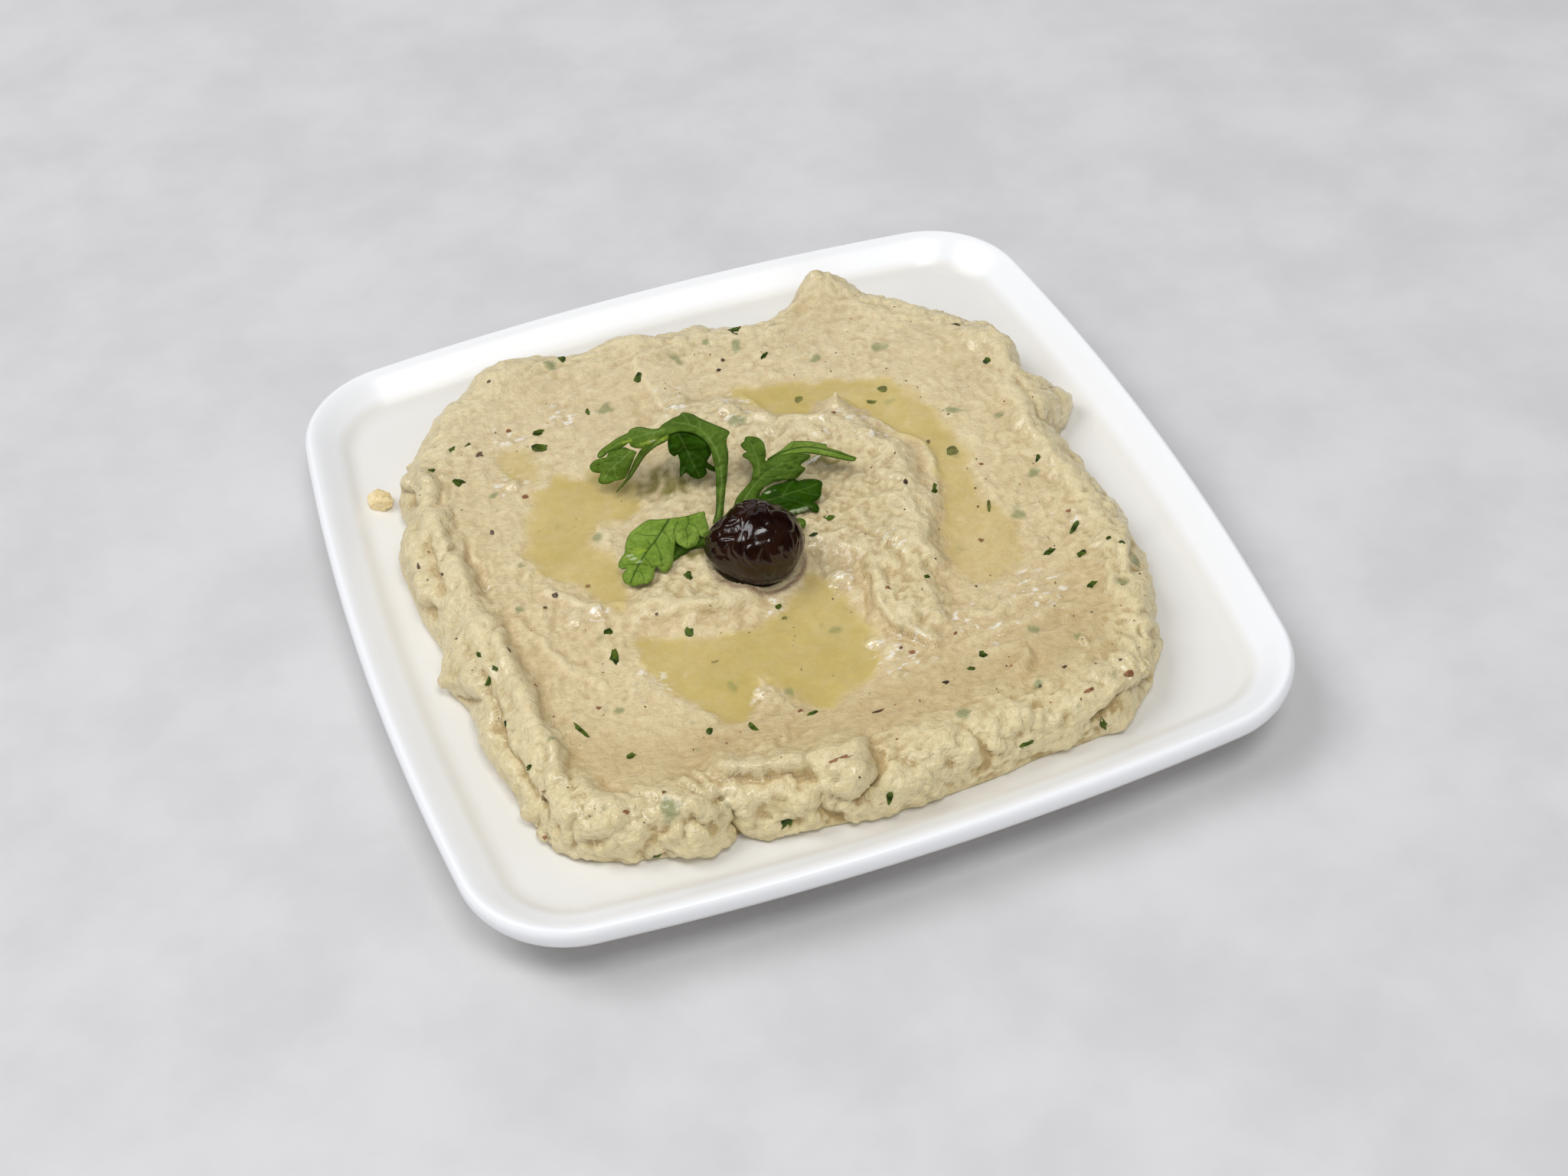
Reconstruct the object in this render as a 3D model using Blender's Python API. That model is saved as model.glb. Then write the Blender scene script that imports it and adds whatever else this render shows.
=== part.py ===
"""Baba ganoush spread over a small square porcelain dish.

The dip carries four pools of olive oil, one black olive and a sprig of parsley.
Sizes are in millimetres; meshes are scaled to metres when they are made.
The dish stands on z = 0, centred on the origin, with its near side towards -Y.
"""
import math

import bmesh
import bpy
import numpy as np

MM = 0.001
GAP = 0.3                    # clearance between touching pieces

# Dish: a rounded square with bowed sides
DISH_HALF = 90.0             # half of its width, at the middle of a side
DISH_HEIGHT = 16.0
SIDE_RADIUS = 610.0          # bow of each side
CORNER_RADIUS = 23.0
SMALLEST_CORNER = 9.0
RIM_THICKNESS = 5.4          # of the lip, from its top to its lower edge
RIM_WIDTH = 9.6              # from the outer edge in to the flat of the well
WELL_FLOOR = 10.4            # height of the well's floor
WALL_THICKNESS = 5.2
FOOT_INSET = 29.0
FOOT_WIDTH = 4.5
FOOT_ROUND = 0.7             # rounding of the foot's lower edges, across
FOOT_RISE = 0.5              # and up

# Sections of the dish, from the well outwards
WELL_SECTION = (             # distance inside the rim's width, height above the well's floor
    (4.0, 0.0), (1.2, 0.12), (-0.4, 0.7), (-2.2, 1.85), (-4.1, 3.2),
)
RIM_SECTION = (              # inset from the outer edge, depth below the rim's top
    (3.6, 1.05), (2.3, 0.32), (1.3, 0.0), (0.6, 0.35), (0.1, 1.2), (0.0, 2.6), (0.4, 4.1),
)
LIP_SECTION = (              # inset from the outer edge, depth below the lip's lower edge
    (1.5, 0.0), (5.0, 1.3), (13.0, 3.2),
)

# Dip
DIP_BASE = WELL_FLOOR + GAP
DIP_LEVEL = 20.0             # height of the ring trough round the mound
DIP_CENTRE = (-1.0, -2.0)
DIP_CELLS = 38               # grid cells across the dip
WALL_ROWS = ((2.6, 0.12), (0.9, 0.38), (0.0, 0.72), (0.5, 1.0))    # inset, share of the fall
SHOULDER_INSET = 5.5
MOUND_HEIGHT = 2.1
MOUND_SLOPE = 6.0
BANK_HEIGHT = 1.3            # general rise of the dip towards its edge
BANK_WIDTH = 13.0

# Oil
OIL_DEPTH = 1.3
OIL_ROUND = 0.7              # rounding of a pool's edge, across
OIL_DROP = 0.35              # and down
ABOVE_FOLDS = 8.0            # height over a pool that is clear of the dip

# Olive
OLIVE_CENTRE = (-7.6, -12.4, 26.3)
OLIVE_SIZE = (10.0, 9.2, 8.8)
OLIVE_TURN = math.radians(-14.0)
OLIVE_POINT = 0.10           # share by which its pointed end is drawn out
OLIVE_CREASE = 0.018         # depth of the creases in its skin, as a share of its size

# Parsley
LEAF_THICKNESS = 0.7
STALK_RADIUS = 0.75
LEAF_TEETH = 0.22            # depth of the leaf's teeth and its droop, as a share of its half width

# The dip's edge on the dish, anticlockwise from the middle of the right side
DIP_OUTLINE = (
    (70, 0), (70, 9), (75.5, 11.5), (78, 15.5), (77.5, 20), (73, 23), (71, 27), (74, 35), (71, 43),
    (62, 53), (52, 62.5), (47.5, 67), (45, 75), (38, 76), (30, 68), (22, 65), (10, 69), (-3, 71), (-11, 74),
    (-21, 71), (-33, 75), (-45, 74), (-52, 67), (-60, 61), (-67, 49), (-71, 44), (-71, 33),
    (-75, 25), (-75.5, 10), (-73, -5), (-76, -12), (-72.5, -22), (-71, -43), (-68, -58),
    (-62, -67), (-48, -71.5), (-38, -74), (-33.5, -70), (-25, -74.5), (-9, -77), (10, -77.5),
    (28, -75.5), (46, -74.5), (57, -67), (64.5, -53), (70, -34), (71, -20), (69.5, -10),
)
OUTLINE_SMOOTHING = math.radians(1.4)

# Foot of the central mound
MOUND_OUTLINE = (
    (-14, 42), (4, 42), (10, 31), (23, 27), (30, 19), (36, 7), (34, -8), (29, -26), (24, -44),
    (12, -42), (9, -28), (6, -16), (-5, -21), (-16, -26), (-28, -23), (-37, -17), (-30, -5),
    (-27, 6), (-20, 20),
)

# Folds left by the spoon: path, height, width on the path's left and on its right
FOLDS = (
    (((-66, 43), (-67, 22), (-66, 0), (-64.5, -20), (-63, -42), (-60, -57), (-52, -63)), 2.1, 2.2, 4.6),
    (((-73, 28), (-74, 14), (-72.5, 2)), 1.1, 1.8, 2.0),
    (((-71, -14), (-71, -34), (-67, -54)), 0.9, 1.8, 2.2),
    (((-70, 33), (-69, 41), (-66, 40), (-64.5, 32)), 1.2, 1.8, 1.8),
    (((-38, -61), (-28, -65), (-17, -68.5), (-9, -67.5), (-4, -70)), 1.9, 4.2, 1.7),
    (((64, 26), (63.5, 4), (64, -16), (62, -36), (56, -52)), 1.3, 3.4, 3.2),
    (((42, -71), (52, -69), (59, -61), (63, -47), (66, -30)), 1.3, 4.0, 1.6),
    (((1, 40), (8, 28), (18, 22.5), (24, 22), (28, 16), (33, 6), (31, -6), (27, -21), (24, -34)),
     1.5, 2.8, 8.0),
    (((14, -22), (13, -31), (15, -41), (20, -48)), 1.2, 1.5, 2.2),
    (((-37, -14), (-29, -19), (-17, -22), (-6, -17)), 1.0, 3.0, 2.6),
    (((-10, 70), (-10.5, 54), (-10, 40)), 1.3, 7.0, 1.5),
    (((66, 43), (68, 31), (64, 20)), 1.2, 1.8, 2.4),
)

# Lumps: x, y, height, radius
LUMPS = (
    (-55, -66, 1.3, 5.0), (-43, -69, 1.6, 5.5), (-27, -72, 1.3, 5.0), (-12, -72, 1.6, 4.5),
    (6, -72, 0.9, 6.0), (24, -71, 0.9, 5.0), (38, 69, 3.6, 6.5), (-40, 68, 1.6, 7.0),
    (-12, 68, 1.0, 5.0), (64, 35, 1.3, 6.0), (24.5, 26.5, 3.2, 2.6), (20, -20, 0.8, 5.0),
    (75, 18, -3.5, 5.0), (-72, -13, -1.5, 4.0),
)

# Pools of oil: node name, height of the surface, outline
POOLS = (
    ("oil_pool_left", 19.7, (
        (-28, 28), (-41, 28), (-46, 23), (-49.5, 14), (-50, 3), (-44, -4), (-40, -14), (-36, -13),
        (-33, -2), (-37, 5), (-35, 11), (-26, 12), (-22, 20))),
    ("oil_pool_small", 20.1, ((-40, 37), (-44, 42), (-49, 39), (-47, 32), (-41, 31))),
    ("oil_pool_front", 19.7, (
        (3, -19), (-4, -24.5), (-15, -29), (-27, -26.5), (-37, -22), (-38, -31), (-33, -43),
        (-26, -52), (-21, -47), (-18, -42), (-14.5, -47), (-10, -54), (2, -51), (7, -43), (6, -31))),
    ("oil_pool_right", 19.9, (
        (6, 41), (12, 32), (20, 29), (25, 31), (31, 23), (35, 14), (38.5, 7), (36, -7),
        (31, -22), (31, -34), (42, -34), (47, -24), (44, -10), (46, 3), (45, 20), (40, 31),
        (30, 37), (18, 40))),
)

# Leaf lobes of the parsley: points along the rib with the lobe's half width at each
PARSLEY_LOBES = (
    ((-12, -1.6, 25.2, 0.8), (-8.5, 3, 29.4, 1.0), (-6.5, 9, 32.6, 1.9), (-7.4, 16, 34.0, 3.6),
     (-11, 20.5, 33.7, 2.6)),
    ((-9, 17, 34.0, 1.6), (-15, 20.5, 33.2, 2.8), (-21, 23, 31.2, 2.7), (-27, 24.4, 28.4, 2.4),
     (-31, 24.4, 26.0, 0.9)),
    ((-13, 19.5, 33.4, 1.2), (-19, 20, 30.6, 2.4), (-25, 19.6, 27.4, 3.9), (-31.5, 19.8, 24.4, 2.0)),
    ((-8.5, 16.5, 33.9, 1.8), (-10.6, 15.6, 30.4, 3.6), (-11.8, 14.6, 26.8, 3.6), (-12, 14.0, 24.0, 1.4)),
    ((-10, -1.4, 25.2, 0.8), (-4.6, 0.8, 25.6, 1.1), (0, 6, 27.0, 1.7), (0.4, 10, 28.0, 2.2),
     (1.8, 15, 29.0, 1.2)),
    ((-3, 2.4, 26.0, 1.2), (4, 4.8, 28.2, 3.2), (11, 6.0, 29.4, 3.3), (16, 5.2, 28.6, 2.4),
     (20.5, 4.0, 26.6, 0.7)),
    ((-4.4, 1.0, 25.6, 1.0), (2.5, 0.8, 25.4, 2.6), (7.5, 0.6, 25.2, 3.2), (12, 0.8, 24.8, 1.4)),
    ((-11.6, -1.8, 24.9, 0.9), (-16, -1.4, 25.8, 2.2), (-21, -1.4, 26.0, 4.0), (-27, -3.0, 25.2, 4.6),
     (-33.5, -6.6, 23.2, 2.2)),
)
ROOT = ((-13.5, -1.8, 25.0), (-8.5, -1.7, 25.0), (-3.5, 1.6, 25.6))

# Crumb of dip lying by itself on the dish
CRUMB_CENTRE = (-75.2, 46.2)
CRUMB_SIZE = (2.3, 2.5, 1.9)
CRUMB_FLAT = 0.7             # share of its half height where its flat base lies


def as_metres(points):
    """Millimetre points as metre tuples."""
    return [tuple(float(value) * MM for value in point) for point in points]


def make_material(name, colour, roughness):
    """A Principled material of one colour."""
    material = bpy.data.materials.new(name)
    material.use_nodes = True
    shader = material.node_tree.nodes["Principled BSDF"]
    shader.inputs["Base Color"].default_value = (*colour, 1.0)
    shader.inputs["Roughness"].default_value = roughness
    shader.inputs["Metallic"].default_value = 0.0
    return material


def make_object(name, points, faces, material):
    """A smooth-shaded object with outward normals from millimetre points."""
    mesh = bpy.data.meshes.new(name)
    mesh.from_pydata(as_metres(points), [], faces)
    body = bmesh.new()
    body.from_mesh(mesh)
    bmesh.ops.recalc_face_normals(body, faces=body.faces)
    body.to_mesh(mesh)
    body.free()
    mesh.materials.append(material)
    mesh.shade_smooth()
    mesh.set_sharp_from_angle(angle=math.radians(50.0))
    result = bpy.data.objects.new(name, mesh)
    bpy.context.scene.collection.objects.link(result)
    return result


def hide_as_cutter(tool):
    """Mark an object as a cutter, which isn't part of the model."""
    tool.hide_render = True
    tool.display_type = "WIRE"


def boolean(target, tool, operation):
    """Combine a tool with the target by a live Boolean."""
    modifier = target.modifiers.new(f"{operation.lower()} {tool.name}", "BOOLEAN")
    modifier.operation = operation
    modifier.solver = "EXACT"
    modifier.object = tool
    hide_as_cutter(tool)


def smooth_path(points, steps, closed=False):
    """Catmull-Rom curve through the points, with the given steps per span."""
    knots = np.asarray(points, float)
    if closed:
        knots = np.vstack([knots[-1:], knots, knots[:2]])
    else:
        knots = np.vstack([2 * knots[0] - knots[1], knots, 2 * knots[-1] - knots[-2]])
    curve = []
    for start in range(1, len(knots) - 2):
        before, here, there, after = knots[start - 1:start + 3]
        for step in range(steps):
            t = step / steps
            curve.append(0.5 * (2 * here + (there - before) * t
                                + (2 * before - 5 * here + 4 * there - after) * t ** 2
                                + (3 * here - before - 3 * there + after) * t ** 3))
    if not closed:
        curve.append(knots[-2])
    return np.array(curve)


def nearest_on_path(x, y, path):
    """Distance to a path, its sign (left is positive) and how far along the nearest point is."""
    spans = np.hypot(*np.diff(path, axis=0).T)
    lengths = np.concatenate([[0.0], np.cumsum(spans)])
    best = np.full(np.shape(x), np.inf)
    side = np.ones(np.shape(x))
    along = np.zeros(np.shape(x))
    for index, (here, there) in enumerate(zip(path[:-1], path[1:])):
        run = there - here
        share = ((x - here[0]) * run[0] + (y - here[1]) * run[1]) / (run @ run)
        share = np.clip(share, 0.0, 1.0)
        away_x = x - here[0] - share * run[0]
        away_y = y - here[1] - share * run[1]
        distance = np.hypot(away_x, away_y)
        closer = distance < best
        best = np.where(closer, distance, best)
        side = np.where(closer, np.sign(run[0] * away_y - run[1] * away_x), side)
        along = np.where(closer, (lengths[index] + share * spans[index]) / lengths[-1], along)
    return best, side, along


def distance_inside(x, y, outline):
    """Distance in from a closed outline; negative outside it."""
    ring = np.vstack([outline, outline[:1]])
    distance, _, _ = nearest_on_path(x, y, ring)
    inside = np.zeros(np.shape(x), bool)
    for (ax, ay), (bx, by) in zip(ring[:-1], ring[1:]):
        if ay != by:
            crosses = ((ay > y) != (by > y)) & (x < (bx - ax) * (y - ay) / (by - ay) + ax)
            inside ^= crosses
    return np.where(inside, distance, -distance)


def smoothstep(value):
    """Ease from 0 to 1 as the value goes from 0 to 1."""
    value = np.clip(value, 0.0, 1.0)
    return value * value * (3.0 - 2.0 * value)


def rounded_square(half, side_radius, corner_radius, side_steps=6, corner_steps=6):
    """Closed outline of a square with bowed sides and round corners."""
    middle = half - side_radius
    reach = side_radius - corner_radius
    corner = (middle + math.sqrt(2 * reach ** 2 - middle ** 2)) / 2
    turn = math.atan2(corner, corner - middle)
    quarter = []
    for step in range(side_steps):
        angle = turn * (2 * step / side_steps - 1)
        quarter.append((middle + side_radius * math.cos(angle), side_radius * math.sin(angle)))
    for step in range(corner_steps):
        angle = turn + (math.pi / 2 - 2 * turn) * step / corner_steps
        quarter.append((corner + corner_radius * math.cos(angle), corner + corner_radius * math.sin(angle)))
    outline = []
    for side in range(4):
        cosine, sine = (1, 0, -1, 0)[side], (0, 1, 0, -1)[side]
        outline.extend((cosine * px - sine * py, sine * px + cosine * py) for px, py in quarter)
    return outline


def dish_profile():
    """Section through the dish as (inset, height), from the well over the rim and under to the foot."""
    lip_bottom = DISH_HEIGHT - RIM_THICKNESS
    recess = WELL_FLOOR - WALL_THICKNESS
    foot_inner = FOOT_INSET + FOOT_WIDTH
    profile = [(RIM_WIDTH + inwards, WELL_FLOOR + rise) for inwards, rise in WELL_SECTION]
    profile += [(inset, DISH_HEIGHT - drop) for inset, drop in RIM_SECTION]
    profile += [(inset, lip_bottom - drop) for inset, drop in LIP_SECTION]
    profile += [
        (FOOT_INSET - 4.0, recess - 0.2),
        (FOOT_INSET - 1.0, recess - 1.4),
        (FOOT_INSET, FOOT_RISE),
        (FOOT_INSET + FOOT_ROUND, 0.0),
        (foot_inner - FOOT_ROUND, 0.0),
        (foot_inner, FOOT_RISE),
        (foot_inner + 1.2, recess),
    ]
    return profile


def build_dish(material):
    """The square dish: well, bowed rim, underside and foot ring in one body."""
    rings = []
    for inset, height in dish_profile():
        corner = max(CORNER_RADIUS - inset, SMALLEST_CORNER)
        outline = rounded_square(DISH_HALF - inset, SIDE_RADIUS - inset, corner)
        rings.append([(px, py, height) for px, py in outline])
    count = len(rings[0])
    points = [point for ring in rings for point in ring]
    faces = []
    for ring in range(len(rings) - 1):
        for index in range(count):
            following = (index + 1) % count
            faces.append((ring * count + index, ring * count + following,
                          (ring + 1) * count + following, (ring + 1) * count + index))
    faces.append(tuple(range(count)))
    last = (len(rings) - 1) * count
    faces.append(tuple(last + index for index in reversed(range(count))))
    return make_object("dish", points, faces, material)


def outline_radius(angle):
    """Distance from the dip's centre to its edge on the dish, in a direction."""
    edge = np.asarray(DIP_OUTLINE, float) - DIP_CENTRE
    known = np.unwrap(np.arctan2(edge[:, 1], edge[:, 0]))
    radii = np.hypot(edge[:, 0], edge[:, 1])
    total = np.zeros(np.shape(angle))
    offsets = np.linspace(-2.0, 2.0, 9)
    weights = np.exp(-0.5 * offsets ** 2)
    for offset, weight in zip(offsets, weights):
        total += weight * np.interp(angle + offset * OUTLINE_SMOOTHING, known, radii, period=2 * math.pi)
    return total / weights.sum()


def fold_height(x, y, path, height, left_width, right_width):
    """Height that one fold adds: a ridge along its path, steeper on one side, fading at its ends."""
    distance, side, along = nearest_on_path(x, y, smooth_path(path, 5))
    width = np.where(side > 0, left_width, right_width)
    fade = np.clip(np.minimum(along, 1.0 - along) * 6.0, 0.0, 1.0)
    return height * np.exp(-(distance / width) ** 2) * smoothstep(fade)


def dip_height(x, y):
    """Height of the dip's surface."""
    centre_x, centre_y = DIP_CENTRE
    angle = np.arctan2(y - centre_y, x - centre_x)
    from_edge = outline_radius(angle) - np.hypot(x - centre_x, y - centre_y)
    height = DIP_LEVEL + BANK_HEIGHT * np.exp(-(from_edge / BANK_WIDTH) ** 2)
    mound = smooth_path(MOUND_OUTLINE, 4, closed=True)
    height = height + MOUND_HEIGHT * smoothstep(distance_inside(x, y, mound) / MOUND_SLOPE)
    for path, rise, left_width, right_width in FOLDS:
        height = height + fold_height(x, y, path, rise, left_width, right_width)
    for lump_x, lump_y, rise, radius in LUMPS:
        height = height + rise * np.exp(-((x - lump_x) ** 2 + (y - lump_y) ** 2) / radius ** 2)
    return height


def dip_ring_shape(ring, rings):
    """Inset from the edge, as a share of the radius or in millimetres, and fall of one ring."""
    first_wall = rings - len(WALL_ROWS) + 1
    if ring >= first_wall:
        inset, fall = WALL_ROWS[ring - first_wall]
        return 1.0, inset, fall
    return ring / (first_wall - 1), SHOULDER_INSET, 0.0


def build_dip(material):
    """The spread dip: a grid wrapped out to its uneven edge and rolled down to the dish."""
    rings = DIP_CELLS // 2
    lines = range(-rings, rings + 1)
    across = np.array([(i, j) for j in lines for i in lines], float)
    ring = np.abs(across).max(axis=1).astype(int)
    angle = np.arctan2(across[:, 1], across[:, 0])
    shape = np.array([dip_ring_shape(value, rings) for value in ring])
    radius = shape[:, 0] * (outline_radius(angle) - shape[:, 1])
    x = DIP_CENTRE[0] + radius * np.cos(angle)
    y = DIP_CENTRE[1] + radius * np.sin(angle)
    top = dip_height(x, y)
    z = top - (top - DIP_BASE) * shape[:, 2]
    width = 2 * rings + 1
    faces = []
    for row in range(width - 1):
        for column in range(width - 1):
            corner = row * width + column
            faces.append((corner, corner + 1, corner + width + 1, corner + width))
    near = list(range(width))
    right = [row * width + width - 1 for row in range(1, width)]
    far = [(width - 1) * width + column for column in range(width - 2, -1, -1)]
    left = [row * width for row in range(width - 2, 0, -1)]
    faces.append(tuple(reversed(near + right + far + left)))
    return make_object("baba_ganoush", np.column_stack([x, y, z]), faces, material)


def grow(outline, amount):
    """Offset a closed anticlockwise or clockwise outline outwards by an amount."""
    ahead = np.roll(outline, -1, axis=0) - np.roll(outline, 1, axis=0)
    ahead /= np.hypot(ahead[:, 0], ahead[:, 1])[:, None]
    area = np.sum(outline[:, 0] * np.roll(outline[:, 1], -1) - np.roll(outline[:, 0], -1) * outline[:, 1])
    outwards = np.column_stack([ahead[:, 1], -ahead[:, 0]]) * np.sign(area)
    return outline + amount * outwards


def stack_outlines(name, layers, material):
    """A closed solid from a stack of outlines, each an array of plan points and a height."""
    count = len(layers[0][0])
    points = []
    for outline, height in layers:
        points.extend((px, py, height) for px, py in outline)
    faces = [tuple(range(count)), tuple((len(layers) - 1) * count + i for i in range(count))]
    for layer in range(len(layers) - 1):
        for index in range(count):
            following = (index + 1) % count
            faces.append((layer * count + index, layer * count + following,
                          (layer + 1) * count + following, (layer + 1) * count + index))
    return make_object(name, points, faces, material)


def build_pool(dip, name, level, points, material):
    """One pool of oil with a rounded edge, and the bed it lies in cut from the dip."""
    outline = smooth_path(points, 4, closed=True)
    bottom = level - OIL_DEPTH
    layers = [
        (outline, bottom),
        (outline, level - OIL_DROP),
        (grow(outline, -OIL_ROUND), level),
    ]
    pool = stack_outlines(name, layers, material)
    bed_outline = grow(outline, GAP)
    bed_layers = [
        (bed_outline, bottom - GAP),
        (bed_outline, level + ABOVE_FOLDS),
    ]
    bed = stack_outlines(f"{name} bed", bed_layers, material)
    boolean(dip, bed, "DIFFERENCE")
    return pool


def olive_shape(direction):
    """Radius factor of the olive in a direction: pointed at one end, creased along its length."""
    point = OLIVE_POINT * smoothstep((-direction[0] - 0.55) / 0.45)
    turn = math.atan2(direction[2], direction[1])
    crease = OLIVE_CREASE * math.cos(7 * turn + 3 * direction[0]) * (1 - direction[0] ** 2)
    return 1.0 + point + crease


def build_olive_body(name, grown, material):
    """The olive, or the same shape grown by a clearance."""
    body = bmesh.new()
    bmesh.ops.create_uvsphere(body, u_segments=28, v_segments=16, radius=1.0)
    cosine, sine = math.cos(OLIVE_TURN), math.sin(OLIVE_TURN)
    for vertex in body.verts:
        direction = vertex.co.zxy.normalized()
        factor = olive_shape(direction)
        px, py, pz = ((OLIVE_SIZE[axis] * factor + grown) * direction[axis] for axis in range(3))
        vertex.co = (cosine * px - sine * py, sine * px + cosine * py, pz)
        vertex.co.x += OLIVE_CENTRE[0]
        vertex.co.y += OLIVE_CENTRE[1]
        vertex.co.z += OLIVE_CENTRE[2]
    points = [tuple(vertex.co) for vertex in body.verts]
    faces = [tuple(vertex.index for vertex in face.verts) for face in body.faces]
    body.free()
    return make_object(name, points, faces, material)


def build_olive(dip, material):
    """The olive, pressed a little way into the dip."""
    olive = build_olive_body("olive", 0.0, material)
    boolean(dip, build_olive_body("olive seat", GAP, material), "DIFFERENCE")
    return olive


def scalloped(width, share):
    """Half width of a lobe with the blunt teeth of a parsley leaf."""
    return width * (1.0 + LEAF_TEETH * math.cos(share * 5 * math.pi))


def build_lobe(name, rib, material):
    """One leaf lobe: a thin blade along its rib, cupped across and toothed at its edges."""
    knots = smooth_path(rib, 3)
    count = len(knots)
    upper, lower = [], []
    for index, (px, py, pz, width) in enumerate(knots):
        ahead = knots[min(index + 1, count - 1), :2] - knots[max(index - 1, 0), :2]
        ahead /= max(np.hypot(*ahead), 1e-6)
        half = scalloped(width, index / (count - 1))
        for share in (-1.0, 0.0, 1.0):
            droop = LEAF_TEETH * half * share ** 2
            place = (px - ahead[1] * half * share, py + ahead[0] * half * share, pz - droop)
            upper.append(place)
            lower.append((place[0], place[1], place[2] - LEAF_THICKNESS))
    points = upper + lower
    below = len(upper)
    faces = []
    for row in range(count - 1):
        for column in range(2):
            a = row * 3 + column
            faces.append((a, a + 1, a + 4, a + 3))
            faces.append((below + a, below + a + 3, below + a + 4, below + a + 1))
        for edge in (0, 2):
            a = row * 3 + edge
            faces.append((a, a + 3, below + a + 3, below + a))
    for a in (0, (count - 1) * 3):
        faces.append((a, a + 1, below + a + 1, below + a))
        faces.append((a + 1, a + 2, below + a + 2, below + a + 1))
    return make_object(name, points, faces, material)


def build_stalk(name, path, radius, material):
    """A round stalk along a path."""
    curve = bpy.data.curves.new(name, "CURVE")
    curve.dimensions = "3D"
    curve.bevel_depth = radius * MM
    curve.bevel_resolution = 2
    curve.use_fill_caps = True
    spline = curve.splines.new("POLY")
    knots = as_metres(smooth_path(path, 3))
    spline.points.add(len(knots) - 1)
    for point, knot in zip(spline.points, knots):
        point.co = (*knot, 1.0)
    curve.materials.append(material)
    stalk = bpy.data.objects.new(name, curve)
    bpy.context.scene.collection.objects.link(stalk)
    mesh = bpy.data.meshes.new_from_object(stalk)
    bpy.data.objects.remove(stalk)
    result = bpy.data.objects.new(name, mesh)
    bpy.context.scene.collection.objects.link(result)
    return result


def build_parsley(material):
    """The sprig: its lobes joined to the short stalk that lies behind the olive."""
    sprig = build_stalk("parsley_sprig", ROOT, STALK_RADIUS, material)
    for number, rib in enumerate(PARSLEY_LOBES):
        lobe = build_lobe(f"parsley lobe {number}", rib, material)
        boolean(sprig, lobe, "UNION")
    return sprig


def build_crumb(material):
    """A crumb of dip on the dish's floor, flat where it rests."""
    body = bmesh.new()
    bmesh.ops.create_icosphere(body, subdivisions=3, radius=1.0)
    points = []
    for vertex in body.verts:
        px, py, pz = vertex.co
        swell = 1.0 + 0.12 * math.sin(3.1 * px + 1.0) * math.cos(2.7 * py)
        height = DIP_BASE + CRUMB_SIZE[2] * max(pz * swell + CRUMB_FLAT, 0.0)
        points.append((CRUMB_CENTRE[0] + CRUMB_SIZE[0] * px * swell,
                       CRUMB_CENTRE[1] + CRUMB_SIZE[1] * py * swell, height))
    faces = [tuple(vertex.index for vertex in face.verts) for face in body.faces]
    body.free()
    return make_object("dip_crumb", points, faces, material)


def clear_scene():
    """Remove whatever the file opened with."""
    for leftover in list(bpy.data.objects):
        bpy.data.objects.remove(leftover, do_unlink=True)


def build():
    """Make the whole object."""
    clear_scene()
    porcelain = make_material("porcelain", (0.90, 0.89, 0.87), 0.15)
    dip_paste = make_material("dip", (0.56, 0.47, 0.29), 0.45)
    oil = make_material("olive oil", (0.50, 0.40, 0.12), 0.10)
    olive_skin = make_material("olive skin", (0.035, 0.015, 0.022), 0.22)
    parsley_green = make_material("parsley green", (0.07, 0.22, 0.03), 0.40)

    build_dish(porcelain)
    dip = build_dip(dip_paste)
    for name, level, points in POOLS:
        build_pool(dip, name, level, points, oil)
    build_olive(dip, olive_skin)
    build_parsley(parsley_green)
    build_crumb(dip_paste)


build()
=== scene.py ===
"""Baba ganoush spread over a small square porcelain dish, with oil, an olive and parsley.

Sizes in the tables and functions are in millimetres; meshes are made in metres.
"""

import itertools
import math

import bmesh
import bpy
import numpy as np
from mathutils import Matrix, Vector, geometry
from mathutils.bvhtree import BVHTree


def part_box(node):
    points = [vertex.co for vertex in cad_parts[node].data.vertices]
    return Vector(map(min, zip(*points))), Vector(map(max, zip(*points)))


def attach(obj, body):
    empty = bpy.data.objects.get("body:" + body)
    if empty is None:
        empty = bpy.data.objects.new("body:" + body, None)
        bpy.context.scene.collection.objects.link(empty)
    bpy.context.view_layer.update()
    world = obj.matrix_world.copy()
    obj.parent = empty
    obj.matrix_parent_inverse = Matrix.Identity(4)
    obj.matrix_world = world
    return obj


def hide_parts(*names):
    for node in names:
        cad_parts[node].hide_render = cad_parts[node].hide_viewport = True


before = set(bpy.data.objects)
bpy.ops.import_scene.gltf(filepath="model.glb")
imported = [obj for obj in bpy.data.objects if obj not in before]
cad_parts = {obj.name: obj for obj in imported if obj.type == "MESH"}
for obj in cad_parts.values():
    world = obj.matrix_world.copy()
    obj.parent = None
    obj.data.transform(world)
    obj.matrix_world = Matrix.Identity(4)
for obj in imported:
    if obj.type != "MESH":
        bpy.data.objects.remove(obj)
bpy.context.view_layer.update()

MM = 0.001

# Dish
DISH_HALF = 90.0
DISH_HEIGHT = 16.0
SIDE_RADIUS = 610.0
CORNER_RADIUS = 23.0
SMALLEST_CORNER = 9.0
RIM_THICKNESS = 5.4
RIM_WIDTH = 9.6
WELL_FLOOR = 10.4
WALL_THICKNESS = 5.2
FOOT_INSET = 29.0
FOOT_WIDTH = 4.5

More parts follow.
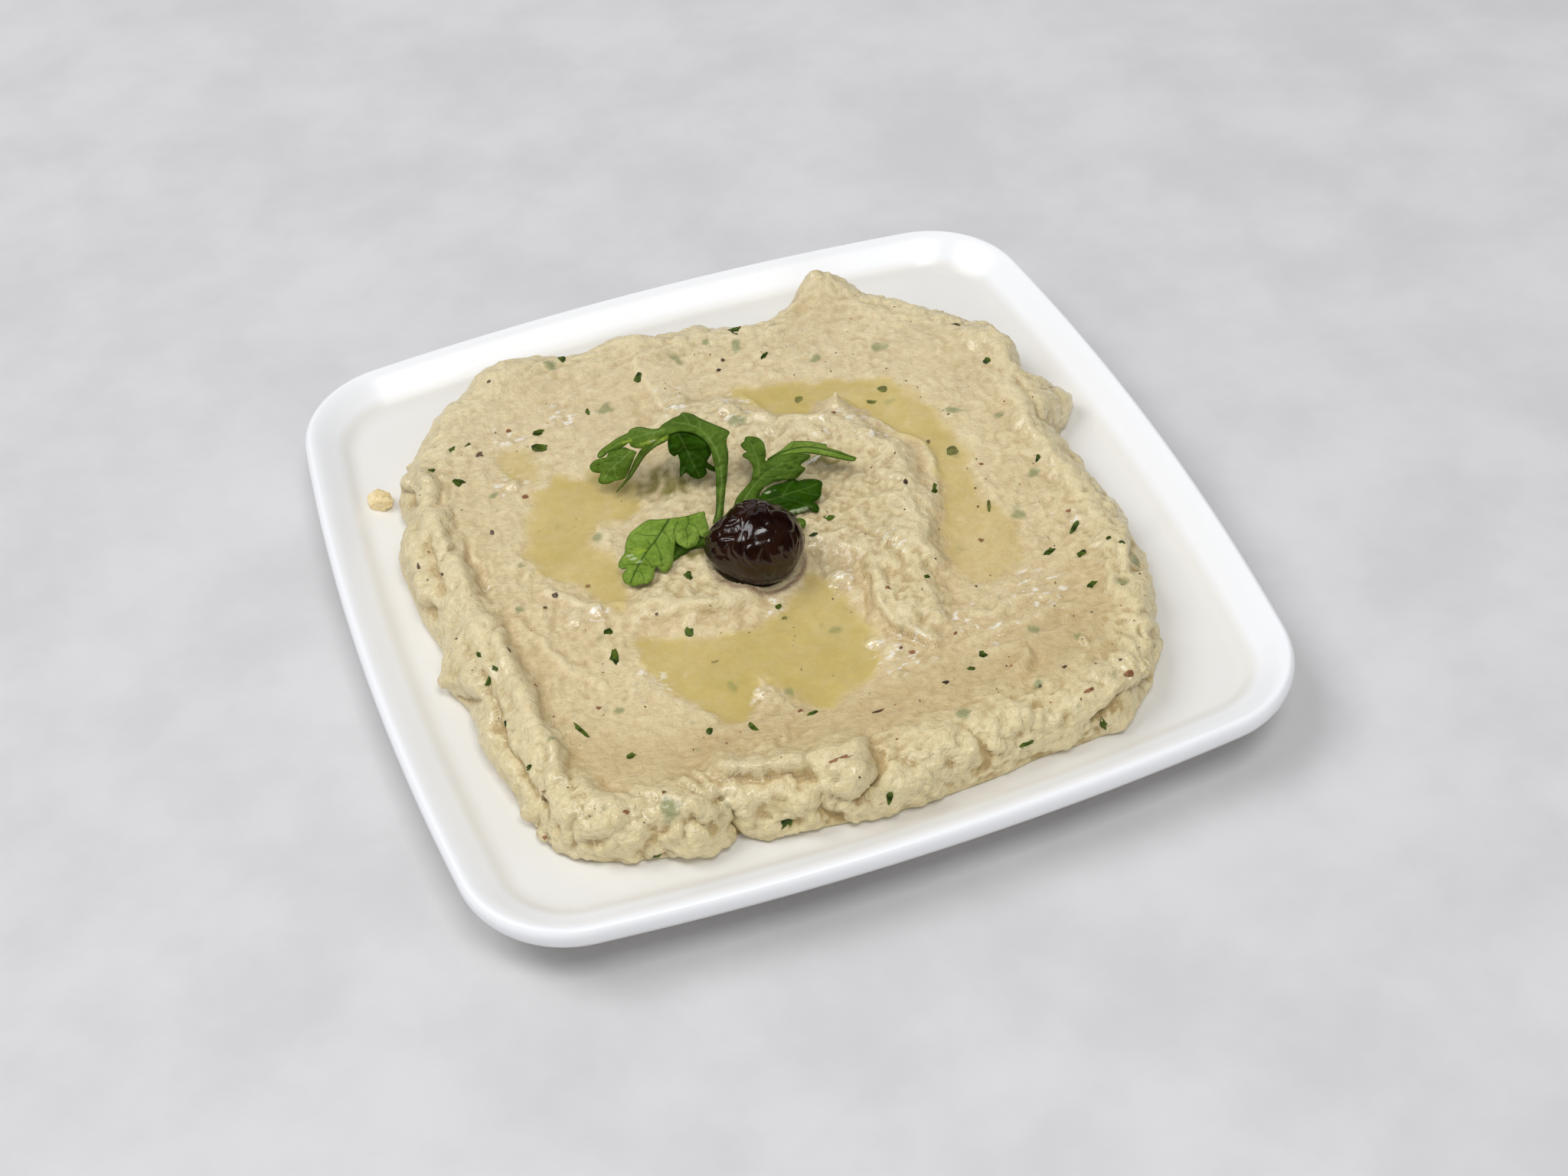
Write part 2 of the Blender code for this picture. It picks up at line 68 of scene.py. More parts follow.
# Dip
DIP_BASE = WELL_FLOOR + 0.05
DIP_LEVEL = 20.0
DIP_CENTRE = (-1.0, -2.0)
DIP_CELLS = 296
WALL_PROFILE = ((9.0, 0.0), (5.6, 0.08), (2.8, 0.24), (0.9, 0.47), (0.0, 0.76), (0.7, 1.0))
WALL_STEPS = 5
MOUND_HEIGHT = 2.1
MOUND_SLOPE = 6.0
BANK_HEIGHT = 1.3
BANK_WIDTH = 13.0
OUTLINE_SMOOTHING = math.radians(1.4)

# The dip's edge on the dish, anticlockwise from the middle of the right side
DIP_OUTLINE = (
    (70, 0), (70, 9), (75.5, 11.5), (78, 15.5), (77.5, 20), (73, 23), (71, 27), (74, 35), (71, 43),
    (62, 53), (52, 62.5), (47.5, 67), (45, 75), (38, 76), (30, 68), (22, 65), (10, 69), (-3, 71), (-11, 74),
    (-21, 71), (-33, 75), (-45, 74), (-52, 67), (-60, 61), (-67, 49), (-71, 44), (-71, 33),
    (-75, 25), (-75.5, 10), (-73, -5), (-76, -12), (-72.5, -22), (-71, -43), (-68, -58),
    (-62, -67), (-48, -71.5), (-38, -74), (-33.5, -70), (-25, -74.5), (-9, -77), (10, -77.5),
    (28, -75.5), (46, -74.5), (57, -67), (64.5, -53), (70, -34), (71, -20), (69.5, -10),
)
MOUND_OUTLINE = (
    (-14, 42), (4, 42), (10, 31), (23, 27), (30, 19), (36, 7), (34, -8), (29, -26), (24, -44),
    (12, -42), (9, -28), (6, -16), (-5, -21), (-16, -26), (-28, -23), (-37, -17), (-30, -5),
    (-27, 6), (-20, 20),
)

# Folds and creases left by the spoon: path, height, width on the path's left and on its right
FOLDS = (
    (((-66, 43), (-67, 22), (-66, 0), (-64.5, -20), (-63, -42), (-60, -57), (-52, -63)), 2.1, 2.2, 4.6),
    (((-73, 28), (-74, 14), (-72.5, 2)), 1.1, 1.8, 2.0),
    (((-71, -14), (-71, -34), (-67, -54)), 0.9, 1.8, 2.2),
    (((-70, 33), (-69, 41), (-66, 40), (-64.5, 32)), 1.2, 1.8, 1.8),
    (((-38, -61), (-28, -65), (-17, -68.5), (-9, -67.5), (-4, -70)), 1.9, 4.2, 1.7),
    (((64, 26), (63.5, 4), (64, -16), (62, -36), (56, -52)), 1.3, 3.4, 3.2),
    (((42, -71), (52, -69), (59, -61), (63, -47), (66, -30)), 1.3, 4.0, 1.6),
    (((1, 40), (8, 28), (18, 22.5), (24, 22), (28, 16), (33, 6), (31, -6), (27, -21), (24, -34)),
     1.5, 2.8, 8.0),
    (((14, -22), (13, -31), (15, -41), (20, -48)), 1.2, 1.5, 2.2),
    (((-37, -14), (-29, -19), (-17, -22), (-6, -17)), 1.0, 3.0, 2.6),
    (((-10, 70), (-10.5, 54), (-10, 40)), 1.3, 7.0, 1.5),
    (((66, 43), (68, 31), (64, 20)), 1.2, 1.8, 2.4),
)

# Finer folds and creases, and lumps (x, y, height, radius), by their places on the plan level
RIDGES = (
    (((-62.5, 18), (-62.2, 10), (-61.9, 4), (-62, -1.5)), -1.7, 0.6, 0.7),
    (((-63.5, 30), (-63.2, 22), (-63.6, 12), (-63.6, 2)), 0.5, 0.8, 1.8),
    (((-68.2, 24), (-69.3, 19), (-70.1, 12), (-70.5, 6), (-71.3, 1)), -1.5, 0.8, 0.8),
    (((-71.8, 28), (-72.7, 20), (-73.2, 12), (-73.6, 6), (-73, 3)), 1.1, 1.3, 1.6),
    (((-71.5, 0.5), (-73.5, -0.5), (-75, -2.5)), -1.6, 0.9, 1.2),
    (((-71.8, 37), (-70.5, 41.5), (-67.5, 43.5), (-65.5, 40), (-64.8, 34)), 1.3, 1.4, 1.3),
    (((-70, 38.5), (-69.6, 35), (-71, 31)), -1.9, 1.3, 1.4),
    (((-68.5, 12), (-66.5, 15.5), (-64.5, 15.5)), -0.7, 0.6, 0.6),
    (((-66, 6), (-68, 2), (-68, -4)), -0.5, 0.9, 0.9),
    (((-62.6, -7), (-62.2, -20), (-61.7, -32), (-62, -40), (-60.6, -47), (-58.6, -51)), 1.0, 1.0, 2.4),
    (((-65, -4), (-65.6, -14), (-65.8, -24), (-66, -36)), -0.6, 1.1, 1.1),
    (((-68.8, -17), (-68.8, -25), (-69.1, -34), (-69, -45), (-68.4, -51), (-67, -58), (-66.6, -63)),
     -1.4, 0.8, 0.8),
    (((-71.4, -8), (-71.5, -18), (-72, -26)), 0.8, 1.6, 1.6),
    (((-71.8, -30), (-71.9, -38), (-71.6, -46), (-69.8, -55)), 0.9, 1.5, 1.5),
    (((-75.4, -25), (-73.4, -28), (-70.5, -27.6)), -1.1, 0.8, 0.8),
    (((-62.9, -43.5), (-62.9, -48.5)), -1.2, 0.5, 0.6),
    (((-65.4, -49), (-65.5, -56)), -0.8, 0.6, 0.6),
    (((-60.6, -53), (-60.4, -59)), -0.6, 0.7, 0.7),
    (((-56, -56), (-53, -60), (-49, -63.5), (-45, -65)), -0.7, 1.0, 1.2),
    (((-42.6, -71), (-41.6, -73.8), (-39.8, -75.6), (-37.6, -75)), -1.4, 0.6, 0.6),
    (((-49.4, -75.5), (-46.5, -73.4), (-43.4, -73.3)), 0.7, 0.9, 0.9),
    (((-55.5, -76), (-50, -79.2), (-43, -81.6)), -1.0, 0.8, 1.0),
    (((-38.6, -60.5), (-36.8, -65), (-35.6, -67.5)), 0.8, 0.7, 0.8),
    (((-42.3, -63.4), (-40.2, -65.4), (-38.6, -68)), -0.9, 0.5, 0.6),
    (((-41.2, -61.5), (-39.4, -65), (-37.8, -68.5)), 0.8, 0.7, 0.8),
    (((-35.6, -67.5), (-35.1, -72), (-35, -76), (-35.4, -81)), -2.8, 0.9, 1.0),
    (((-36, -61.8), (-30, -64.3), (-25, -65.7), (-20, -67.3), (-16.6, -69.3)), 1.3, 2.4, 0.9),
    (((-27, -67.6), (-22, -69), (-18.8, -71), (-16.8, -72.8)), -1.7, 0.7, 0.9),
    (((-33.4, -75), (-30.6, -79.6), (-27.5, -82), (-23, -81.8), (-19.6, -79.4)), 1.1, 1.3, 1.2),
    (((-29.8, -74), (-28.6, -78), (-26, -79.6), (-22.3, -79.2)), -1.0, 0.7, 0.7),
    (((-17.9, -73.5), (-18.4, -77.5), (-18.6, -81), (-15, -83.6)), -2.2, 1.2, 1.3),
    (((-4.5, -66), (-4.3, -70), (-5.4, -73.4), (-8, -77.4), (-11.6, -79.9), (-14.2, -78)), -2.0, 0.8, 0.9),
    (((0.4, -73), (3, -70), (8, -69.6), (12, -71.6), (13.6, -75.4), (12.6, -80)), 0.7, 1.0, 1.0),
    (((13.6, -71), (15, -75.6), (14, -80.6), (10.8, -84)), -1.2, 0.8, 0.9),
    (((35, -77.4), (40, -75), (46, -73), (51, -70.9), (55, -68)), 1.1, 1.6, 0.7),
    (((35.6, -79.6), (40, -77.2), (44, -75.8), (48, -73.6), (52, -72.3), (56.5, -69.2)), -2.2, 0.8, 1.1),
    (((46.6, -80.4), (48, -77), (50, -74.4)), -1.1, 0.7, 0.7),
    (((28.6, -61), (31, -59.8), (32.8, -57.8), (33.2, -55.6)), 1.1, 0.9, 0.8),
    (((34.3, -56), (34, -59.6), (31.6, -61.6)), -0.5, 0.6, 0.6),
    (((67.9, -31), (67, -36), (65.2, -38.6), (64.4, -42), (63.4, -47)), -1.3, 0.6, 0.7),
    (((66, -29), (65.4, -34), (63.6, -38.8), (62.4, -44)), 0.7, 0.9, 1.0),
    (((60.5, -35), (59, -40), (57.8, -44.4), (56, -49)), 0.9, 0.8, 1.2),
    (((62, -37), (60.4, -43), (58.6, -49)), -0.7, 0.7, 0.7),
    (((12.8, -24), (10.2, -30), (7.6, -36), (6.6, -39)), -1.3, 0.7, 0.7),
    (((14, -25), (12.2, -30), (11.7, -35), (13.2, -40), (16, -45), (18.4, -48.6)), 1.2, 0.9, 1.3),
    (((9, -40), (12, -42), (14.4, -46), (16, -50)), -1.1, 1.1, 0.9),
    (((16.6, -23), (15.4, -29), (15.8, -35)), -0.6, 0.7, 0.9),
    (((4.3, -13), (4, -18), (4.4, -23)), -0.7, 0.5, 0.6),
    (((19.6, -15), (20.2, -22), (19.4, -31)), -0.5, 0.8, 0.8),
    (((24, -18), (24.6, -27), (24, -36)), -0.4, 0.9, 0.9),
    (((27.6, 24), (30, 19.4), (34, 13.4), (37.4, 9), (38, 4), (36.8, -1), (35, -7), (33.6, -14)),
     0.9, 0.8, 1.8),
    (((6.4, 41), (8.4, 35), (10.4, 30.4), (15, 27), (21, 25.4), (24.4, 27)), 0.7, 0.8, 1.6),
    (((-15.4, 49), (-14.8, 42), (-15.2, 36)), -0.8, 0.8, 1.4),
    (((-11, 52), (-10.4, 45), (-10.8, 39)), 0.6, 1.4, 1.0),
    (((66.5, 24), (66, 12), (66.4, 0), (68, -12)), -0.8, 0.9, 0.9),
    (((62.4, 20), (62, 6), (62.6, -8), (63.8, -20)), 0.6, 1.0, 1.4),
    (((24, -42), (31, -44.4), (39, -43), (47, -45.6)), 0.5, 0.8, 1.2),
    (((26, -48), (33, -49.6), (42, -48), (50, -50.6)), 0.5, 0.8, 1.2),
    (((21, -53), (30, -54.4), (38, -53.4), (46, -55)), 0.4, 0.8, 1.2),
    (((-58, -12), (-55, -17), (-53.6, -24), (-50, -31)), 0.5, 0.8, 1.3),
    (((-54, -22), (-50, -28), (-46, -36)), 0.4, 0.8, 1.2),
    (((-52, -1), (-47, -8), (-41, -13), (-34, -15)), 0.8, 1.0, 1.4),
    (((-38, -17), (-31, -19.4), (-24, -19), (-17, -21.4)), 0.7, 1.0, 1.4),
)
BUMPS = (
    (-66, 33, 0.7, 2.2), (-65, 27, 0.7, 2.4), (-66.6, 21.6, 0.6, 2.2), (-64.4, 18, 0.6, 2.0),
    (-67, 9, 0.7, 2.6), (-65.4, 3, 0.5, 2.6), (-73.3, 3.8, 1.1, 1.9), (-63.2, -8, 0.8, 2.4),
    (-62.8, -13, 0.7, 2.0), (-66.4, -8, 0.5, 2.4), (-67.2, -20, 0.6, 2.2), (-76.2, -20.6, 1.4, 1.8),
    (-71, -23, 0.7, 2.8), (-64.4, -52.5, 0.7, 2.0), (-63.4, -60.4, 1.0, 2.8), (-58.6, -57, 0.8, 2.2),
    (-66.6, -47, 0.6, 2.0), (-70.6, -60, 0.8, 1.8), (-69, -64.6, 0.8, 1.6), (-66, -68, 0.9, 2.2),
    (-64, -73, 0.8, 2.4), (-60.4, -67.6, 1.1, 3.0), (-60, -73.4, 0.9, 2.6), (-57.5, -62, 1.0, 3.0),
    (-54.6, -67, 0.8, 2.2), (-53, -72.4, 1.1, 3.0), (-56.6, -75.6, 0.8, 2.0), (-50.6, -76.6, 1.0, 2.6),
    (-50.8, -68, 0.5, 2.2), (-47.6, -69, 0.5, 2.4), (-44, -70.6, 0.6, 2.4), (-45.4, -77.4, 1.2, 4.6),
    (-40.4, -78.6, 1.7, 4.4), (-40.2, -70.6, 1.4, 2.4), (-39, -73.4, 1.6, 1.9), (-31, -69, 0.7, 3.0),
    (-33, -73.6, 1.1, 3.0), (-27, -71.6, 0.9, 2.8), (-22.6, -72.8, 1.1, 2.8), (-20.2, -76, 1.4, 2.6),
    (-24.2, -77, 1.0, 2.6), (-28.4, -78.8, 1.0, 2.4), (-13.2, -71.4, 2.0, 3.2), (-10, -72.6, 2.4, 4.4),
    (-7.6, -69.4, 1.6, 3.4), (-12.2, -76.2, 1.9, 2.7), (-16.2, -73.4, 1.3, 1.5), (-13.6, -81.6, 1.3, 2.6),
    (-8.6, -82, 0.8, 3.0), (-3, -79.6, 0.8, 4.0), (-1.4, -72, 0.6, 3.0), (2.6, -73, 1.0, 2.5),
    (8.6, -72.6, 1.2, 2.8), (5, -77, 0.9, 2.5), (10.6, -77, 1.2, 2.8), (7, -81, 0.9, 2.6),
    (1, -79, 0.8, 2.6), (3, -83, 0.7, 2.2), (18, -72, 0.7, 2.6), (22, -74.4, 0.7, 2.5),
    (17.2, -78, 0.8, 2.4), (26, -71, 0.6, 2.6), (29.4, -74, 0.8, 2.8), (24.4, -79, 0.6, 2.8),
    (34, -71.4, 0.7, 2.4), (40, -72, 0.9, 2.8), (44.6, -71.6, 0.8, 2.4), (36.6, -75, 0.7, 2.2),
    (44, -67, 0.7, 2.6), (50, -66, 0.8, 2.6), (41, -80, 1.0, 3.0), (46.4, -77.6, 0.8, 2.4),
    (33.4, -66, 0.5, 2.2), (44.6, -58.3, 1.2, 1.2), (60, -53, 0.7, 2.4), (57, -58, 0.8, 2.6),
    (62, -47.6, 0.7, 2.2), (53, -62, 0.6, 2.4), (56.4, -64, 0.8, 2.2), (64.6, -38, 0.6, 1.8),
    (7, -23.6, 1.1, 2.2), (5.4, -43, 0.8, 1.5), (8.6, -46, 0.7, 2.2), (-46.6, -13.6, 0.9, 1.8),
    (-43, -13.4, 0.8, 1.5), (-47.6, 29.6, 0.8, 1.8), (-20, -47.6, 0.5, 1.8), (-6.4, 42, 0.7, 2.4),
    (3, 36, 0.6, 2.4), (29.6, 16.6, 0.7, 2.2), (63, 37, 0.9, 3.2), (67, 31, 0.8, 2.6),
    (60, 46, 0.7, 3.0), (69, 38.6, 0.7, 2.2), (73.6, 17, 0.9, 2.6), (70, 2, 0.6, 2.2),
    (69.4, -6, 0.6, 2.4), (70.6, -16, 0.7, 2.4), (68.6, -25, 0.6, 2.2), (33, 77, 1.0, 3.0),
    (39, 79, 0.8, 2.6), (-38, 73, 0.8, 3.4), (-47, 69.4, 0.7, 2.8), (-20, 74, 0.7, 2.6),
    (-8, 76, 0.8, 2.8), (6, 73, 0.6, 2.6), (21, 69, 0.7, 2.6), (49, 67, 0.8, 2.6),
)
# Wet spots: x, y on the plan level, radius; glossier, with painted glints in near-white streaks
WET_AND_GLINT_SPOTS = (
    (-46.6, -13.6, 2.4), (-43, -13.4, 2.0), (-47.6, 29.6, 2.8), (7, -24, 2.6), (5.4, -43, 1.8),
    (11, -47.4, 4.6), (-9, -26.6, 2.2), (-20, -48, 2.2), (-6.4, 42, 3.4), (26, 21, 3.2), (30, 16.6, 3.4),
    (3, 36, 3.4), (21, -17, 2.4), (42, -42, 4.6), (57, -25.6, 2.2), (20, 23, 3.0), (-31, 47, 3.4),
    (-44, 46, 3.2), (-60, 2, 2.4), (-38, -37, 3.0), (15, 14, 3.0), (24, -44, 3.0), (31, -49, 3.0),
)

# Lumps: x, y, height, radius
LUMPS = (
    (-55, -66, 1.3, 5.0), (-43, -69, 1.6, 5.5), (-27, -72, 1.3, 5.0), (-12, -72, 1.6, 4.5),
    (6, -72, 0.9, 6.0), (24, -71, 0.9, 5.0), (38, 69, 3.6, 6.5), (-40, 68, 1.6, 7.0),
    (-12, 68, 1.0, 5.0), (64, 35, 1.3, 6.0), (20, -20, 0.8, 5.0),
    (75, 18, -3.5, 5.0), (-72, -13, -1.5, 4.0),
)
SPIKE = (25.2, 26.6, 5.6, 1.9)

# Pools of oil: node, surface level, outline
POOLS = (
    ("oil_pool_left", 19.7, (
        (-28, 28), (-41, 28), (-46, 23), (-49.5, 14), (-50, 3), (-44, -4), (-40, -14), (-36, -13),
        (-33, -2), (-37, 5), (-35, 11), (-26, 12), (-22, 20))),
    ("oil_pool_small", 20.1, ((-40, 37), (-44, 42), (-49, 39), (-47, 32), (-41, 31))),
    ("oil_pool_front", 19.7, (
        (3, -19), (-4, -24.5), (-15, -29), (-27, -26.5), (-37, -22), (-38, -31), (-33, -43),
        (-26, -52), (-21, -47), (-18, -42), (-14.5, -47), (-10, -54), (2, -51), (7, -43), (6, -31))),
    ("oil_pool_right", 19.9, (
        (6, 41), (12, 32), (20, 29), (25, 31), (31, 23), (35, 14), (38.5, 7), (36, -7),
        (31, -22), (31, -34), (42, -34), (47, -24), (44, -10), (46, 3), (45, 20), (40, 31),
        (30, 37), (18, 40))),
)
POOL_RICHNESS = ((0.75, 0.8), (0.5, 0.5), (0.95, 0.8), (0.4, 0.95))
OIL_DEPTH = 1.3
BED_DEPTH = 0.5
SHORE = 4.6

# Olive
OLIVE_HALF = (10.0, 9.2, 8.8)
OLIVE_TURN = math.radians(-14.0)
OLIVE_LEAN = (0.55, -0.25, 0.0)
OLIVE_STALK_END = (0.30, 0.55, 0.80)
OLIVE_CELLS = 110

# Parsley blades: name, paleness, outline by its places on the plan level, heights (x, y, height), veins
BLADES = (
    ("arch", 0.36, (
        (-12.2, 1.6), (-10.6, 4.6), (-9.2, 8.2), (-7.9, 12), (-6.6, 16), (-5.7, 20), (-5, 24), (-5.1, 27),
        (-6.2, 29.7), (-7.9, 31.5), (-9.8, 32.2), (-12, 32.1), (-13.2, 33.2), (-13, 34.8), (-11.8, 35.8),
        (-10.4, 36.3), (-9.2, 36.8), (-7.8, 37), (-6.8, 37.7), (-5.7, 37.2), (-4.6, 36), (-3.8, 34.4),
        (-2.4, 32.4), (-0.8, 30.2), (0.4, 28.5), (0.6, 27.4), (-0.4, 26.2), (-1.2, 24.3), (-1.9, 21.4),
        (-3.3, 17.6), (-4.8, 14), (-6.4, 10.4), (-8.2, 6.2), (-9.8, 2.6)),
     ((-11, 2, 24.4), (-8, 8, 26.6), (-5.6, 15, 29.6), (-3.6, 22, 32.2), (-0.4, 27.4, 32.6), (-4.6, 28, 33.8),
      (-6.4, 33, 34.6), (-6.8, 37.4, 33.6), (-10, 33.4, 34.6), (-12.6, 33.6, 34)),
     (((-10.9, 2.4), (-8.6, 7.6), (-6.2, 13.4), (-4.6, 19), (-4, 24), (-4.3, 28), (-5.4, 31.6),
       (-7.4, 34), (-9.8, 35.4)),
      ((-4.3, 27), (-2.4, 28.6), (-0.4, 28.4)), ((-4.1, 23), (-2.6, 25.4), (-1, 26)),
      ((-5, 31), (-4.4, 33.4), (-4.6, 35.6)), ((-6.6, 33.4), (-6.6, 35.6), (-7, 37)))),
    ("upper left", 0.46, (
        (-11.8, 35.2), (-13.4, 34.8), (-14.7, 35.2), (-16.2, 36.4), (-17.6, 37.1), (-19.2, 36.8),
        (-19.9, 36), (-21.4, 35.6), (-22.7, 35.2), (-24.5, 34.3), (-26.6, 33.3), (-27.7, 32.4),
        (-28.4, 31), (-27.4, 30.8), (-26, 31.6), (-24.4, 31.8), (-22.4, 32.2), (-20.7, 32.9),
        (-20.6, 31.8), (-19.9, 30.7), (-18.4, 30.1), (-16.8, 30.2), (-15.2, 30.8), (-13.4, 31.6),
        (-11.6, 32.4)),
     ((-11.6, 34, 34.4), (-15, 35, 33.8), (-18, 36.8, 32), (-20, 34, 31.4), (-24, 33.2, 29.4),
      (-28.2, 31, 26.6), (-19, 30.6, 31.4), (-15, 31.2, 33), (-17, 33, 33)),
     (((-11.8, 33.8), (-15, 34), (-18.6, 34), (-22, 33.6), (-25.4, 32.6), (-28, 31.2)),
      ((-15, 34), (-17, 35.4), (-18.4, 36.6)), ((-14.4, 33.8), (-16.4, 32.4), (-18.8, 31)),
      ((-19.6, 34), (-21.2, 35)))),
    ("long strip", 0.35, (
        (-11.8, 32.3), (-13.8, 31.5), (-15.8, 30.6), (-18.4, 30.2), (-20.2, 28.5), (-22.2, 25.8),
        (-24.6, 22.3), (-26.4, 20.6), (-28.1, 18.8), (-25.4, 20.7), (-23, 22.8), (-20.6, 25.6),
        (-18.2, 28), (-15.4, 29.6), (-12.8, 30.4)),
     ((-11.8, 31.6, 34.2), (-15.6, 30, 32.6), (-19.4, 28, 29.6), (-23, 24, 25.8), (-28, 18.8, 22)),
     (((-12.4, 31.2), (-16, 30), (-19.6, 27.6), (-23.4, 23.4), (-27.6, 19.2)),)),
    ("lower left", 0.45, (
        (-26.6, 30.3), (-27.6, 30.4), (-29, 30.3), (-30.4, 29.5), (-31, 28.2), (-30.7, 26.9), (-29.6, 26.1),
        (-29.3, 25.7), (-30.2, 24.5), (-30.5, 23.4), (-29.9, 22.5), (-28.6, 22.1), (-27.4, 22.4),
        (-26.4, 22.3), (-25, 22.4), (-23.9, 23.6), (-22.6, 25.6), (-20.9, 28.2), (-20.1, 29.5),
        (-21.4, 31), (-22.2, 32), (-24.2, 31.8), (-25.6, 31.7)),
     ((-21, 29.6, 29.6), (-23.6, 31, 29), (-25, 27, 27), (-30.4, 28.4, 25), (-29.6, 23.2, 23.6),
      (-25, 23, 25)),
     (((-21.2, 30), (-24, 28.2), (-27, 26.4), (-29.4, 23.6)), ((-24.4, 28), (-27.4, 28.6), (-30.2, 28.2)),
      ((-25.6, 27.4), (-26.4, 25), (-26.4, 22.8)), ((-23, 29), (-25, 30.2), (-26.6, 30.2)))),
    ("hanging", 0.05, (
        (-12, 32), (-12.7, 30), (-13.3, 28), (-13.5, 26.2), (-12.9, 25), (-12.1, 25.3), (-12.3, 22.8),
        (-13.2, 20.6), (-13.9, 18.1), (-12.9, 18.7), (-12.1, 18.9), (-11.9, 17.8), (-11.1, 16.4),
        (-9.8, 15.9), (-8.7, 16.6), (-8.1, 17.4), (-7.9, 18.9), (-7.4, 18), (-6.2, 16.6), (-5.7, 17.6),
        (-6.4, 19), (-7, 20.4), (-6.2, 21.6), (-5.3, 22.6), (-4.9, 24.6), (-5, 27.4), (-6.2, 29.8),
        (-8, 31.8), (-9.8, 32.4)),
     ((-12, 32, 33.9), (-8, 31.6, 34), (-5.2, 26, 32.6), (-13.3, 27, 31), (-9, 25, 30), (-13.6, 18.4, 26),
      (-10, 16, 25.2), (-6, 17, 26)),
     (((-9.8, 31.6), (-9.8, 27), (-10, 22), (-10, 16.8)), ((-9.8, 27.4), (-11.6, 26.4), (-13.2, 26.6)),
      ((-9.9, 24), (-11.6, 21.4), (-13.4, 18.6)), ((-9.9, 25), (-8, 22.8), (-6.6, 20)))),
    ("right upper", 0.32, (
        (-6.8, 3.6), (-6.1, 5.4), (-5.2, 6.8), (-4, 8), (-2, 9.6), (-0.3, 11.1), (0.6, 12.6), (1.4, 14.4),
        (1.7, 15.9), (1.5, 17.4), (0.9, 18.5), (0.8, 19.4), (1.4, 19.9), (2.1, 20), (1.7, 21.3),
        (1.5, 22.6), (2, 23.2), (2.7, 23.5), (3.1, 24.4), (3.8, 24.8), (5.1, 24.1), (6.1, 22.9),
        (6.4, 21.4), (6, 19.4), (5.5, 17.6), (4.8, 16.2), (4.9, 15.6), (6.4, 16.1), (8.2, 16.3),
        (10.4, 15.9), (12.6, 15), (14.2, 13.9), (13.6, 13), (12.3, 12.3), (11.4, 11.9), (11.2, 11.2),
        (11.8, 10.4), (11.1, 9.6), (9.9, 8.8), (8.8, 8), (7.2, 8.4), (5.2, 8.8), (3, 8.6), (1.3, 7.8),
        (0, 6.6), (-0.6, 5.2), (-1.4, 3.6), (-4, 3)),
     ((-5.6, 4, 24.6), (-1, 8.6, 26), (1.6, 14, 28), (3.6, 24.4, 30), (5, 16, 29), (8, 12, 28.6),
      (13.8, 13.8, 29.4), (10.8, 9.6, 27), (3, 8.8, 26.4)),
     (((-5.6, 4), (-2.4, 7.4), (1, 10.6), (4.4, 12.8), (8.6, 13.8), (13, 13.6)),
      ((1, 10.6), (2.6, 14), (3.4, 18), (3.8, 23.4)), ((3.2, 18.4), (2, 19.2)), ((3.6, 20.6), (5.2, 22.4)),
      ((4.4, 12.8), (7.6, 11.6), (10.8, 10.6)), ((1.8, 11), (5, 10), (8.2, 8.8)))),
    ("right tip", 0.84, (
        (5.2, 16), (6.4, 16.6), (7.6, 17.1), (9.6, 17.9), (11.2, 18.9), (12.4, 19.3), (13.7, 18.9),
        (15.6, 18), (17.4, 16.7), (18.7, 15.5), (18.5, 14.6), (19.7, 13.4), (20.9, 12), (22, 10.4),
        (23.1, 9.2), (22.5, 8.5), (21.5, 8.8), (19.6, 10.4), (17.6, 12.1), (16, 13.4), (14.4, 14.5),
        (12.4, 15.3), (10, 15.9), (7.6, 16.2)),
     ((5.2, 16, 29), (9.6, 16.2, 29.7), (14.4, 14.8, 29.6), (19.6, 10.8, 27.6), (22.8, 8.8, 25.8),
      (12.2, 19, 28.6), (18.4, 15.4, 27.4)),
     (((5.6, 16.2), (10, 17), (14, 16.6), (18, 14), (22.4, 9.4)), ((11, 17), (12.4, 18.6)),
      ((14.6, 16.2), (16.6, 16.4)))),
    ("right lower", 0.05, (
        (-1.8, 4), (-0.4, 5.4), (0.6, 6.5), (1.8, 7.3), (3.6, 7.8), (5.6, 7.7), (7.2, 8.2), (8.4, 7.9),
        (8.9, 7), (10.2, 7), (11.8, 6.5), (13, 5.6), (13.4, 4.5), (12.7, 3.1), (12.2, 2), (11.6, 0.8),
        (10.5, 0), (9.5, -0.3), (9.9, -1.1), (10, -2.4), (9.3, -3.5), (8.5, -3.1), (8, -1.9), (6.4, -2.4),
        (4.4, -2.2), (2.6, -1), (1, 1.4)),
     ((-1, 4, 25.6), (4, 7, 26), (8.6, 7.6, 25.8), (13.2, 4.6, 24.8), (7, 2, 25.4), (9.4, -3.2, 22.8),
      (4.4, -2, 23)),
     (((-0.6, 3.8), (3.4, 4), (7.6, 4.2), (12.4, 4.6)), ((3.4, 4), (6.4, 1.6), (9.4, -2.6)),
      ((4.4, 4.2), (6.4, 6.2), (8, 7.4)), ((7.6, 4.2), (9.8, 2.2), (11.6, 1.2)))),
    ("right nub", 0.4, (
        (3.6, -3.2), (4.6, -3.6), (5.6, -4.3), (5.9, -5.3), (5.4, -6.5), (4.3, -7), (3.2, -6.6), (3, -4.6)),
     ((3.4, -3.4, 24.2), (5.8, -4.8, 23.8), (4.2, -6.8, 23.2)),
     (((3.4, -5), (5.4, -5.4)),)),
    ("front fold", 0.15, (
        (-13.2, -1.4), (-14.8, -3), (-16.3, -4), (-18.8, -3.9), (-21, -4.7), (-23.6, -5.8), (-22.8, -3),
        (-21.4, 0.4), (-18.4, 1.4), (-14.6, 0.8)),
